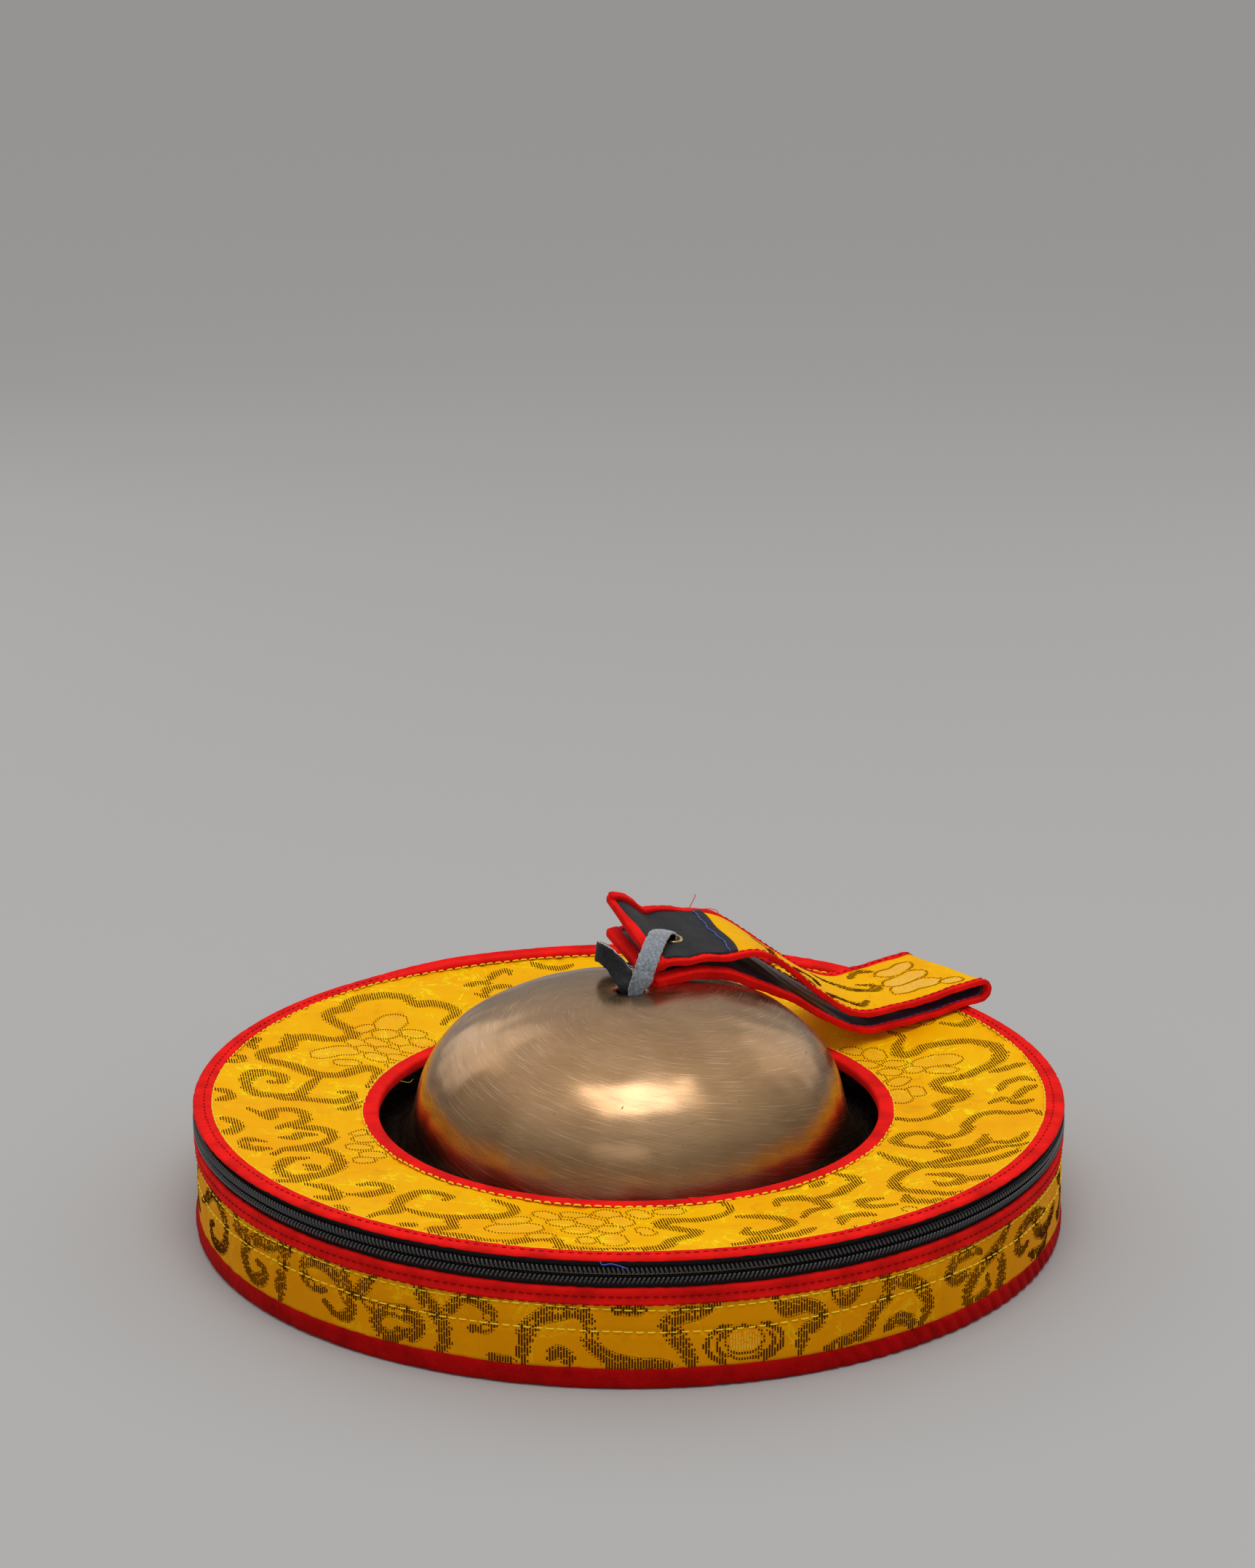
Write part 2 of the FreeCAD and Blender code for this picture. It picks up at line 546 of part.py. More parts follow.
def make_lower_strap():
    line = folded_line()
    half = STRAP_W / 2

    def edges(low, high):
        front = [V(CYMBAL_X + px, CYMBAL_Y + low, pz) for px, pz in line]
        back = [V(CYMBAL_X + px, CYMBAL_Y + high, pz) for px, pz in line]
        return front, back

    front, back = edges(-half + STRAP_EDGE, half - STRAP_EDGE)
    band = ribbon(front, back, -FOLDED_T / 2, FOLDED_T / 2)
    rings = []
    for run in (0, 3):
        z = FOLDED_Z + run * FOLDED_PITCH
        centre = (CYMBAL_X + FOLDED_EYELET_X, CYMBAL_Y)
        band = band.cut(disc(EYELET_R, z - 0.8, z + 0.8, centre))
        low, high = z - FOLDED_T / 2 - 0.05, z + FOLDED_T / 2 + 0.05
        rings.append(ring(EYELET_HOLE_R, EYELET_R, low, high, centre=centre))
    save("lower_strap_band", band)
    save("lower_eyelets", Part.makeCompound(rings))
    for name, low, high in (("front", -half, -half + STRAP_EDGE), ("back", half - STRAP_EDGE, half)):
        front, back = edges(low, high)
        solid = ribbon(front, back, -FOLDED_T / 2, FOLDED_T / 2)
        save("lower_strap_" + name + "_binding", solid)


def make_lower_thong(knot_top):
    """Up through the boss, flat under the folded strap, and up past its end."""
    x, y = CYMBAL_X, CYMBAL_Y
    across = (0.0, 1.0, 0.0)
    flat_z = BOSS_TOP_Z - NEST + 0.3 + THONG_T / 2
    end = -FOLDED_HALF - 3.4
    stations = [
        (V(x, y, knot_top), across, THONG_W),
        (V(x, y, flat_z - 1.2), across, THONG_W),
        (V(x - 1.4, y, flat_z + 0.1), across, THONG_W),
        (V(x - 8.0, y, flat_z + 0.1), across, THONG_W),
        (V(x + end + 3.0, y, flat_z), across, THONG_W),
        (V(x + end, y, flat_z + 1.6), across, THONG_W),
        (V(x + end - 0.2, y, FOLDED_Z + 4.6), across, THONG_W),
    ]
    save("lower_thong", thong(stations))


make_case()
make_lid()
make_slider()
make_pull()
save("upper_cymbal", cymbal(0.0))
save("lower_cymbal", cymbal(NEST))
UPPER_KNOT_TOP = make_cymbal_fittings("upper", 0.0)
LOWER_KNOT_TOP = make_cymbal_fittings("lower", NEST)
TOP_EYELET, BOTTOM_EYELET = make_strap()
make_upper_thong(UPPER_KNOT_TOP, TOP_EYELET, BOTTOM_EYELET)
make_lower_strap()
make_lower_thong(LOWER_KNOT_TOP)
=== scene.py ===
import math

import bpy
import numpy as np
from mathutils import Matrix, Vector


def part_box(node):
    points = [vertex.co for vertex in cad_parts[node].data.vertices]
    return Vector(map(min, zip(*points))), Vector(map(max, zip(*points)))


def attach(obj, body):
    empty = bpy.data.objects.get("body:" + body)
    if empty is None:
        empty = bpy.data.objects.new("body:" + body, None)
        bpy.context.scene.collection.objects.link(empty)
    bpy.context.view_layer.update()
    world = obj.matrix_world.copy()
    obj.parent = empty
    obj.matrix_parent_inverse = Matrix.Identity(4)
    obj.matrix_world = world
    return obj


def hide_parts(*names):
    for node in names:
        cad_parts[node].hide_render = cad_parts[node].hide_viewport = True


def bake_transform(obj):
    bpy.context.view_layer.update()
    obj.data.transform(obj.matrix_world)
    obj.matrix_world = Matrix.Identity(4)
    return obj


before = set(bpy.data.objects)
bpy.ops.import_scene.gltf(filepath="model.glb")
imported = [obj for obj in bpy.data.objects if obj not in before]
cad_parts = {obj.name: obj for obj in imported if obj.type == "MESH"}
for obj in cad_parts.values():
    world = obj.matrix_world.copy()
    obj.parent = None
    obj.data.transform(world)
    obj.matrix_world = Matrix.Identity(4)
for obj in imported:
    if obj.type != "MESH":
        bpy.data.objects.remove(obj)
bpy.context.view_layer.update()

# All lengths below are millimetres in the row frame; build() turns them into metres.
MM = 0.001
TAU = 2 * math.pi

CYMBAL = (0.6, -4.1)                        # axis of the cymbals
HOLE_Y, HOLE_R = -5.0, 85.8                 # the hole in the lid
WALL_R = 149.2                              # face of the wall's cloth, for its pattern
ZIP_R = 149.0                               # middle of the zip's teeth
LID_LOW, LID_RISE = 39.6, 4.6               # height of the lid's cloth by the hole, and its rise to the rim


# ---- meshes ---------------------------------------------------------------------------------
def build(name, verts, faces, mats, face_mats=None, smooth=True):
    mesh = bpy.data.meshes.new(name)
    verts = np.asarray(verts, float) * MM
    faces = faces.tolist() if hasattr(faces, "tolist") else faces
    mesh.from_pydata(verts.tolist(), [], faces)
    for m in mats if isinstance(mats, (list, tuple)) else [mats]:
        mesh.materials.append(m)
    if face_mats is not None:
        mesh.polygons.foreach_set("material_index", np.asarray(face_mats, np.int32))
    if smooth:
        mesh.polygons.foreach_set("use_smooth", [True] * len(mesh.polygons))
    mesh.update()
    obj = bpy.data.objects.new(name, mesh)
    bpy.context.scene.collection.objects.link(obj)
    return obj


def piece(name, skin, mats, body, slot=None, nodes=(), tones=None, smooth=True):
    """A mesh from a skin's (verts, faces) that rides on a body and stands for its CAD nodes."""
    obj = build(name, *skin, mats, tones, smooth)
    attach(obj, body)
    if nodes:
        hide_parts(*nodes)
    return obj


def grid_faces(n, m, wrap, first=0, flip=False):
    """Quads of an n by m grid of points stored row by row."""
    i = np.arange(n - 1)[:, None]
    j = np.arange(m if wrap else m - 1)[None, :]
    a = i * m + j
    b = i * m + (j + 1) % m
    quads = np.stack([a, b, b + m, a + m], -1).reshape(-1, 4) + first
    return quads[:, ::-1] if flip else quads


def closed_sheet(top, bottom, wrap):
    """A closed skin between two grids of points (n across, m along)."""
    n, m = top.shape[:2]
    verts = np.concatenate([top.reshape(-1, 3), bottom.reshape(-1, 3)])
    off = n * m
    faces = [grid_faces(n, m, wrap), grid_faces(n, m, wrap, off, True)]
    j = np.arange(m if wrap else m - 1)
    k = (j + 1) % m
    faces.append(np.stack([j, j + off, k + off, k], -1))
    last = (n - 1) * m
    faces.append(np.stack([last + j, last + k, last + k + off, last + j + off], -1))
    if not wrap:
        i = np.arange(n - 1) * m
        faces.append(np.stack([i, i + m, i + m + off, i + off], -1))
        e = i + m - 1
        faces.append(np.stack([e, e + off, e + m + off, e + m], -1))
    return verts, np.concatenate(faces)


def loft(sections, wrap=False):
    """A closed skin through sections (m stations of k points each)."""
    m, k = sections.shape[:2]
    faces = grid_faces(m, k, True).tolist()
    if wrap:
        a = (m - 1) * k + np.arange(k)
        b = (m - 1) * k + (np.arange(k) + 1) % k
        faces += np.stack([a, b, (np.arange(k) + 1) % k, np.arange(k)], -1).tolist()
    else:
        faces.append(list(range(k))[::-1])
        faces.append(list(range((m - 1) * k, m * k)))
    return sections.reshape(-1, 3), faces


def merged(parts):
    """Several (verts, faces) as one."""
    verts, faces, first = [], [], 0
    for v, f in parts:
        verts.append(v)
        faces += [[i + first for i in face] for face in (f.tolist() if hasattr(f, "tolist") else f)]
        first += len(v)
    return np.concatenate(verts), faces


def copies(faces, points, count):
    """The faces of one shape, repeated for count shapes of so many points, stored in a row."""
    return [[i + points * k for i in face] for k in range(count) for face in faces]


def around(theta, r, z, cx=0.0, cy=0.0):
    """Points of the case's wall: theta is measured from the front, +X side positive."""
    r, z, theta = np.broadcast_arrays(r, z, theta)
    return np.stack([cx + r * np.sin(theta), cy - r * np.cos(theta), z], -1)


def ripple(t, seed, low, high, n=6):
    """Smooth noise of about unit size that closes up over a turn: t in radians."""
    rng = np.random.default_rng(seed)
    total = np.zeros_like(t)
    for _ in range(n):
        total = total + np.sin(rng.integers(low, high + 1) * t + rng.uniform(0, TAU))
    return total / math.sqrt(n / 2)


def field(x, y, wavelength, seed):
    """Smooth noise of about unit size over a plane."""
    waves = 8
    rng = np.random.default_rng(seed)
    total = np.zeros_like(x)
    for _ in range(waves):
        a = rng.uniform(0, TAU)
        k = TAU / (wavelength * rng.uniform(0.75, 1.4))
        total = total + np.sin(k * (x * math.cos(a) + y * math.sin(a)) + rng.uniform(0, TAU))
    return total / math.sqrt(waves / 2)


def smooth01(t):
    t = np.clip(t, 0.0, 1.0)
    return t * t * (3.0 - 2.0 * t)


def curve_through(points, step=0.5):
    """A smooth line through points, with stations about one step apart."""
    p = np.asarray(points, float)
    p = np.concatenate([[2 * p[0] - p[1]], p, [2 * p[-1] - p[-2]]])
    out = []
    for i in range(1, len(p) - 2):
        n = max(int(np.linalg.norm(p[i + 1] - p[i]) / step), 1)
        t = (np.arange(n) / n)[:, None]
        a, b, c, d = p[i - 1], p[i], p[i + 1], p[i + 2]
        out.append(0.5 * (2 * b + (c - a) * t + (2 * a - 5 * b + 4 * c - d) * t ** 2
                          + (3 * b - a - 3 * c + d) * t ** 3))
    out.append(p[-2][None, :])
    return np.concatenate(out)


def unit(v):
    return v / np.maximum(np.linalg.norm(v, axis=-1, keepdims=True), 1e-12)


def tube(points, radius):
    """A round thread along a line, with closed ends."""
    p = np.asarray(points, float)
    along = unit(np.gradient(p, axis=0))
    ref = np.array([0.0, 0.0, 1.0]) if abs(along[0][2]) < 0.9 else np.array([1.0, 0.0, 0.0])
    side = []
    for t in along:
        ref = ref - t * (ref @ t)
        ref = ref / np.linalg.norm(ref)
        side.append(ref)
    side = np.array(side)
    other = np.cross(along, side)
    a = np.arange(6) / 6 * TAU
    r = np.full(len(p), float(radius))
    r[0] *= 0.45
    r[-1] *= 0.45
    ring = (side[:, None, :] * np.cos(a)[None, :, None]
            + other[:, None, :] * np.sin(a)[None, :, None])
    return loft(p[:, None, :] + ring * r[:, None, None])


def stitch_row(centres, along, normal, length, radius, sink=0.25):
    """Running stitches: short arched threads that dive into the cloth at both ends."""
    centres, along, normal = (np.asarray(a, float) for a in (centres, along, normal))
    n = len(centres)
    along, normal = unit(along), unit(normal)
    across = np.cross(along, normal)
    length = np.broadcast_to(np.asarray(length, float), (n,))
    at = np.array([-0.5, -0.38, 0.0, 0.38, 0.5])
    height = np.array([-sink, radius * 0.5, radius * 0.8, radius * 0.5, -sink])
    thick = np.array([0.6, 1.0, 1.0, 1.0, 0.6]) * radius
    a = np.arange(6) / 6 * TAU
    line = (centres[:, None, :] + along[:, None, :] * (at[None, :, None] * length[:, None, None])
            + normal[:, None, :] * height[None, :, None])
    ring = (across[:, None, None, :] * np.cos(a)[None, None, :, None]
            + normal[:, None, None, :] * np.sin(a)[None, None, :, None])
    ring = ring * thick[None, :, None, None]
    verts = (line[:, :, None, :] + ring).reshape(-1, 3)
    return verts, copies(loft(np.zeros((5, 6, 3)))[1], 30, n)


# ---- materials ------------------------------------------------------------------------------
def opaque(value):
    """Gives a plain colour its alpha, and leaves sockets and numbers as they are."""
    return (*value, 1.0) if isinstance(value, tuple) and len(value) == 3 else value


class Shader:
    """A small helper for writing a Principled material's nodes."""

    def __init__(self, name, **constants):
        self.mat = bpy.data.materials.new(name)
        self.mat.use_nodes = True
        self.tree = self.mat.node_tree
        self.tree.nodes.clear()
        self.bsdf = self.add("ShaderNodeBsdfPrincipled")
        out = self.add("ShaderNodeOutputMaterial")
        self.tree.links.new(self.bsdf.outputs[0], out.inputs["Surface"])
        for key, value in constants.items():
            self.bsdf.inputs[key.replace("_", " ")].default_value = value
        self.where = self.add("ShaderNodeTexCoord").outputs["Object"]

    def add(self, kind, **settings):
        node = self.tree.nodes.new(kind)
        for key, value in settings.items():
            setattr(node, key, value)
        return node

    def put(self, socket, value):
        if hasattr(value, "is_output"):
            self.tree.links.new(value, socket)
        else:
            socket.default_value = value

    def math(self, op, a, b=0.0, clamp=False):
        node = self.add("ShaderNodeMath", operation=op, use_clamp=clamp)
        self.put(node.inputs[0], a)
        self.put(node.inputs[1], b)
        return node.outputs[0]

    def mapped(self, scale=(1, 1, 1), turn=(0, 0, 0), source=None):
        node = self.add("ShaderNodeMapping")
        self.put(node.inputs["Vector"], source or self.where)
        node.inputs["Scale"].default_value = scale
        node.inputs["Rotation"].default_value = turn
        return node.outputs[0]

    def noise(self, scale, detail=3.0, rough=0.55, source=None, distort=0.0):
        node = self.add("ShaderNodeTexNoise")
        self.put(node.inputs["Vector"], source or self.where)
        for key, value in (("Scale", scale), ("Detail", detail), ("Roughness", rough),
                           ("Distortion", distort)):
            node.inputs[key].default_value = value
        return node.outputs["Fac"]

    def wave(self, period_mm, direction="X", source=None):
        node = self.add("ShaderNodeTexWave", bands_direction=direction)
        self.put(node.inputs["Vector"], source or self.where)
        node.inputs["Scale"].default_value = 0.314159 / (period_mm * MM)
        node.inputs["Detail"].default_value = 0.0
        return node.outputs["Fac"]

    def cells(self, scale):
        node = self.add("ShaderNodeTexVoronoi")
        self.put(node.inputs["Vector"], self.where)
        node.inputs["Scale"].default_value = scale
        return node.outputs["Distance"]

    def ramp(self, fac, *stops, soft=False):
        node = self.add("ShaderNodeValToRGB")
        self.put(node.inputs["Fac"], fac)
        node.color_ramp.interpolation = "EASE" if soft else "LINEAR"
        for i, (at, colour) in enumerate(stops):
            if i >= len(node.color_ramp.elements):
                node.color_ramp.elements.new(at)
            e = node.color_ramp.elements[i]
            e.position = at
            if not hasattr(colour, "__len__"):
                colour = (colour,) * 3
            e.color = (*colour[:3], 1.0)
        return node.outputs["Color"]

    def mix(self, fac, a, b):
        node = self.add("ShaderNodeMix", data_type="RGBA")
        self.put(node.inputs["Factor"], fac)
        sockets = [socket for socket in node.inputs if socket.type == "RGBA"]
        for socket, value in zip(sockets, (a, b)):
            self.put(socket, opaque(value))
        return next(s for s in node.outputs if s.type == "RGBA")

    def tint(self, base, mask, low, high, amount, colour):
        """Mixes a colour into base where mask rises from low to high."""
        share = self.math("MULTIPLY", self.ramp(mask, (low, 0.0), (high, 1.0)), amount)
        return self.mix(share, base, colour)

    def unrolled(self, radius):
        """The wall rolled out flat: metres along it from the front, and height."""
        split = self.add("ShaderNodeSeparateXYZ")
        self.put(split.inputs[0], self.where)
        behind = self.math("MULTIPLY", split.outputs["Y"], -1.0)
        angle = self.math("ARCTAN2", split.outputs["X"], behind)
        join = self.add("ShaderNodeCombineXYZ")
        self.put(join.inputs["X"], self.math("MULTIPLY", angle, radius))
        self.put(join.inputs["Y"], split.outputs["Z"])
        return join.outputs[0]

    def bump(self, height, strength, distance_mm=0.2, below=None):
        node = self.add("ShaderNodeBump")
        node.inputs["Strength"].default_value = strength
        node.inputs["Distance"].default_value = distance_mm * MM
        self.put(node.inputs["Height"], height)
        if below is not None:
            self.put(node.inputs["Normal"], below)
        return node.outputs["Normal"]

    def finish(self, colour=None, rough=None, normal=None, metal=None):
        for name, value in (("Base Color", colour), ("Roughness", rough), ("Normal", normal),
                            ("Metallic", metal)):
            if value is not None:
                self.put(self.bsdf.inputs[name], opaque(value))
        return self.mat


WEAVE_TURN = math.radians(10.5)     # the lid's threads run this much off the front-to-back line


def brocade(name, kind):
    """Yellow satin, with painted highlights and painted crease shade. kind says how its threads run: flat,
    round (a wall) or strap; the wall's copy is painted darker, as shade.
    """
    s = Shader(name, Specular_IOR_Level=0.03, Specular_Tint=(1.0, 0.60, 0.05, 1.0),
               Sheen_Weight=0.02, Sheen_Roughness=0.4, Sheen_Tint=(1.0, 0.66, 0.03, 1.0))
    if kind == "flat":
        threads = s.mapped(turn=(0, 0, -WEAVE_TURN))
    elif kind == "round":
        threads = s.unrolled(WALL_R * MM)
    else:
        threads = s.mapped(turn=(0, 0, math.radians(-32)))
    rib = s.wave(0.47 if kind == "round" else 0.5, "X", threads)
    cross = s.wave(0.42, "Y", threads)
    broad = s.noise(28.0, 3.0)
    streak = s.noise(260.0, 2.0, source=s.mapped((1.0, 0.06, 1.0), (0, 0, -WEAVE_TURN)))
    shades = [(0.97, 0.430, 0.001), (1.0, 0.500, 0.001), (1.0, 0.550, 0.002)]
    # painted shade: the wall's copy of the satin is darker, for the upright wall that the lamps light less
    # than the lid
    if kind == "round":
        shades = [(0.80, 0.290, 0.001), (0.87, 0.330, 0.001), (0.93, 0.370, 0.002)]
    ground = s.ramp(broad, *zip((0.30, 0.52, 0.72), shades))
    ground = s.tint(ground, streak, 0.45, 0.75, 0.12, (0.72, 0.28, 0.002))
    ground = s.mix(s.math("MULTIPLY", s.ramp(rib, (0.1, 1.0), (0.6, 0.0)), 0.22),
                   ground, (0.55, 0.20, 0.001))
    # painted highlights: thin, jagged lines of lighter yellow in a few places, where crinkles would catch
    # the light
    bent = s.noise(75.0, 4.0, 0.6, distort=0.9)
    thin = s.ramp(bent, (0.48, 0.0), (0.5, 1.0), (0.52, 0.0))
    where = s.ramp(s.noise(55.0, 1.0), (0.47, 0.0), (0.56, 1.0))
    glint = s.math("MULTIPLY", thin, where)
    shine = s.math("MULTIPLY", glint, 0.9 if kind == "flat" else 0.35)
    ground = s.mix(shine, ground, (1.0, 0.80, 0.01))
    # painted shade: darker patches where the cloth's creases would lie in shade
    crease_shade = s.noise(140.0, 4.0, 0.6, distort=0.5)
    ground = s.tint(ground, crease_shade, 0.56, 0.70, 0.28, (0.62, 0.23, 0.001))
    rough = s.ramp(rib, (0.0, 0.62), (1.0, 0.46))
    normal = s.bump(bent, 0.35, 0.5)
    normal = s.bump(rib, 0.45, 0.10, normal)
    normal = s.bump(cross, 0.20, 0.06, normal)
    return s.finish(ground, rough, normal)


def red_cloth(name="red_cloth", colour=(0.92, 0.011, 0.009)):
    s = Shader(name, Sheen_Weight=0.05, Sheen_Roughness=0.4, Specular_IOR_Level=0.08,
               Sheen_Tint=(1.0, 0.10, 0.08, 1.0), Specular_Tint=(1.0, 0.25, 0.2, 1.0))
    weave = s.mapped(turn=(0.4, 0.2, 0.0))
    warp = s.wave(0.42, "X", weave)
    weft = s.wave(0.42, "Y", weave)
    third = s.wave(0.42, "Z", weave)
    cloth = s.math("MULTIPLY", s.math("ADD", warp, s.math("ADD", weft, third)), 0.333)
    broad = s.noise(90.0, 4.0)
    fuzz = s.noise(1400.0, 2.0)
    dark = tuple(c * 0.62 for c in colour)
    base = s.ramp(broad, (0.3, dark), (0.62, colour))
    base = s.tint(base, fuzz, 0.55, 0.8, 0.2, (0.88, 0.03, 0.02))
    normal = s.bump(s.noise(160.0, 3.0), 0.35, 0.35)
    normal = s.bump(cloth, 0.5, 0.10, normal)
    return s.finish(base, 0.82, normal)


def thread(name, colour, rough=0.6, sheen=0.3, shine=0.4):
    s = Shader(name, Sheen_Weight=sheen, Specular_IOR_Level=shine)
    ply = s.noise(1600.0, 2.0)
    base = s.mix(s.math("MULTIPLY", ply, 0.4), colour, tuple(c * 0.7 for c in colour))
    return s.finish(base, rough, s.bump(ply, 0.4, 0.06))


def satin_lining():
    s = Shader("plum_satin", Sheen_Weight=0.05, Specular_IOR_Level=0.35, Coat_Weight=0.06,
               Coat_Roughness=0.25)
    fold = s.noise(60.0, 4.0, 0.6, distort=0.6)
    # painted shade and sheen: the plum is darker and lighter along the same folds that bump the satin
    base = s.ramp(fold, (0.35, (0.055, 0.016, 0.040)), (0.7, (0.100, 0.036, 0.078)))
    return s.finish(base, 0.34, s.bump(fold, 0.4, 0.5))


def lining_cloth():
    """Plain woven lining of the case and the lid."""
    s = Shader("plum_cotton", Sheen_Weight=0.08, Specular_IOR_Level=0.15)
    weave = s.math("MULTIPLY", s.wave(0.6, "X"), s.wave(0.6, "Y"))
    broad = s.noise(25.0, 3.0)
    base = s.ramp(broad, (0.35, (0.060, 0.018, 0.045)), (0.7, (0.078, 0.026, 0.060)))
    base = s.mix(s.math("MULTIPLY", weave, 0.3), base, (0.030, 0.010, 0.024))
    normal = s.bump(broad, 0.3, 0.8)
    return s.finish(base, 0.8, s.bump(weave, 0.4, 0.1, normal))


def zip_tape():
    s = Shader("zip_tape", Sheen_Weight=0.02, Sheen_Roughness=0.5, Specular_IOR_Level=0.18)
    flat = s.unrolled(ZIP_R * MM)
    rib = s.wave(0.55, "X", flat)
    row = s.wave(0.7, "Y", flat)
    herring = s.math("MULTIPLY", rib, s.math("ADD", row, 0.4))
    base = s.ramp(herring, (0.1, (0.005, 0.005, 0.006)), (0.9, (0.020, 0.019, 0.021)))
    return s.finish(base, 0.48, s.bump(herring, 0.4, 0.08))


def coil_nylon():
    s = Shader("zip_coil", Specular_IOR_Level=0.65, Coat_Weight=0.6, Coat_Roughness=0.10)
    mark = s.noise(500.0, 2.0)
    base = s.ramp(mark, (0.3, (0.003, 0.003, 0.004)), (0.8, (0.009, 0.009, 0.010)))
    return s.finish(base, s.ramp(mark, (0.3, 0.16), (0.8, 0.28)), s.bump(mark, 0.15, 0.05))


def enamel():
    s = Shader("zip_enamel", Coat_Weight=0.4, Coat_Roughness=0.15, Specular_IOR_Level=0.5)
    worn = s.noise(420.0, 4.0, 0.65)
    base = s.ramp(worn, (0.55, (0.010, 0.010, 0.011)), (0.8, (0.11, 0.10, 0.09)))
    metal = s.ramp(worn, (0.6, 0.0), (0.8, 0.8))
    return s.finish(base, s.ramp(worn, (0.3, 0.28), (0.8, 0.5)), s.bump(worn, 0.2, 0.08), metal)


def bronze():
    """Aged bronze, scratched on the slant and round the boss, with pits, and darker towards its foot."""
    s = Shader("bronze", Anisotropic=0.35, Specular_IOR_Level=0.5)
    split = s.add("ShaderNodeSeparateXYZ")
    s.put(split.inputs[0], s.where)
    height = split.outputs["Z"]
    # unrolled round the boss: distance round it, and distance down from its top
    x, y = (s.math("SUBTRACT", split.outputs[k], c * MM) for k, c in zip("XY", CYMBAL))
    out = s.math("SQRT", s.math("ADD", s.math("MULTIPLY", x, x), s.math("MULTIPLY", y, y)))
    plane = s.add("ShaderNodeCombineXYZ")
    angle = s.math("ARCTAN2", x, s.math("MULTIPLY", y, -1.0))
    s.put(plane.inputs["X"], s.math("MULTIPLY", angle, 0.060))
    s.put(plane.inputs["Y"], s.math("SUBTRACT", out, height))

    def scratches(scale, stretch, degrees):
        turned = s.mapped(turn=(0, 0, math.radians(degrees)), source=plane.outputs[0])
        return s.noise(scale, 3.0, 0.6, s.mapped((stretch, 1.0, 1.0), source=turned))

    slant = scratches(110.0, 0.22, -24)
    fine = scratches(1500.0, 0.035, -20)
    cross = scratches(1100.0, 0.030, 12)
    blotch = s.noise(22.0, 5.0, 0.6)
    cloud = s.noise(9.0, 3.0, 0.5)
    pits = s.ramp(s.noise(330.0, 5.0, 0.75), (0.66, 0.0), (0.71, 1.0))
    base = s.ramp(blotch, (0.32, (0.36, 0.205, 0.100)), (0.50, (0.44, 0.258, 0.130)),
                  (0.68, (0.52, 0.320, 0.178)))
    for mask, low, high, amount, colour in (
            (cloud, 0.40, 0.70, 0.40, (0.40, 0.27, 0.13)),
            (slant, 0.50, 0.72, 0.45, (0.27, 0.16, 0.085)),
            (fine, 0.56, 0.68, 0.60, (0.64, 0.46, 0.30)),
            (cross, 0.56, 0.70, 0.35, (0.24, 0.14, 0.07))):
        base = s.tint(base, mask, low, high, amount, colour)
    base = s.mix(s.math("MULTIPLY", pits, 0.75), base, (0.035, 0.022, 0.014))
    foot = s.ramp(s.math("MULTIPLY", height, 10.0), (0.26, 1.0), (0.44, 0.0))
    base = s.mix(s.math("MULTIPLY", foot, 0.3), base, (0.20, 0.110, 0.055))
    rough = s.ramp(slant, (0.3, 0.20), (0.75, 0.29))
    rough = s.math("ADD", rough, s.math("MULTIPLY", s.ramp(fine, (0.5, 0.0), (0.8, 1.0)), 0.12))
    rough = s.math("ADD", rough, s.math("MULTIPLY", pits, 0.25), True)
    normal = s.bump(blotch, 0.06, 1.2)
    normal = s.bump(slant, 0.12, 0.12, normal)
    normal = s.bump(fine, 0.22, 0.06, normal)
    normal = s.bump(cross, 0.14, 0.05, normal)
    normal = s.bump(pits, -0.35, 0.08, normal)
    return s.finish(base, rough, normal, 1.0)


def dark_leather():
    s = Shader("black_leather", Specular_IOR_Level=0.20, Coat_Weight=0.03, Coat_Roughness=0.35)
    grain = s.cells(900.0)
    crease = s.noise(120.0, 5.0, 0.6, distort=0.4)
    base = s.ramp(grain, (0.1, (0.003, 0.003, 0.004)), (0.6, (0.010, 0.010, 0.013)))
    base = s.tint(base, crease, 0.58, 0.75, 0.35, (0.04, 0.04, 0.05))
    normal = s.bump(crease, 0.4, 0.3)
    normal = s.bump(grain, 0.45, 0.12, normal)
    return s.finish(base, s.ramp(crease, (0.3, 0.42), (0.7, 0.58)), normal)


def suede():
    s = Shader("grey_suede", Sheen_Weight=0.7, Sheen_Roughness=0.6, Specular_IOR_Level=0.1)
    nap = s.noise(900.0, 5.0, 0.75)
    patch = s.noise(230.0, 3.0, 0.6)
    base = s.ramp(nap, (0.32, (0.045, 0.058, 0.075)), (0.52, (0.19, 0.22, 0.26)),
                  (0.72, (0.42, 0.45, 0.48)))
    base = s.tint(base, patch, 0.5, 0.7, 0.4, (0.09, 0.11, 0.14))
    return s.finish(base, 0.95, s.bump(nap, 0.9, 0.35))


def cut_edge():
    s = Shader("cut_leather_edge", Sheen_Weight=0.5, Specular_IOR_Level=0.1)
    fibre = s.noise(1300.0, 4.0, 0.7)
    base = s.ramp(fibre, (0.35, (0.22, 0.17, 0.12)), (0.65, (0.62, 0.55, 0.45)))
    return s.finish(base, 0.95, s.bump(fibre, 0.8, 0.2))


def worn_brass():
    s = Shader("eyelet_brass")
    worn = s.noise(700.0, 4.0, 0.6)
    base = s.ramp(worn, (0.35, (0.32, 0.20, 0.07)), (0.6, (0.72, 0.50, 0.20)))
    return s.finish(base, s.ramp(worn, (0.3, 0.22), (0.7, 0.42)), s.bump(worn, 0.15, 0.05), 1.0)


def fibre_board():
    s = Shader("fibre_board", Specular_IOR_Level=0.2)
    chip = s.noise(300.0, 5.0, 0.7)
    return s.finish(s.ramp(chip, (0.35, (0.26, 0.20, 0.13)), (0.65, (0.55, 0.46, 0.33))), 0.85,
                    s.bump(chip, 0.4, 0.1))


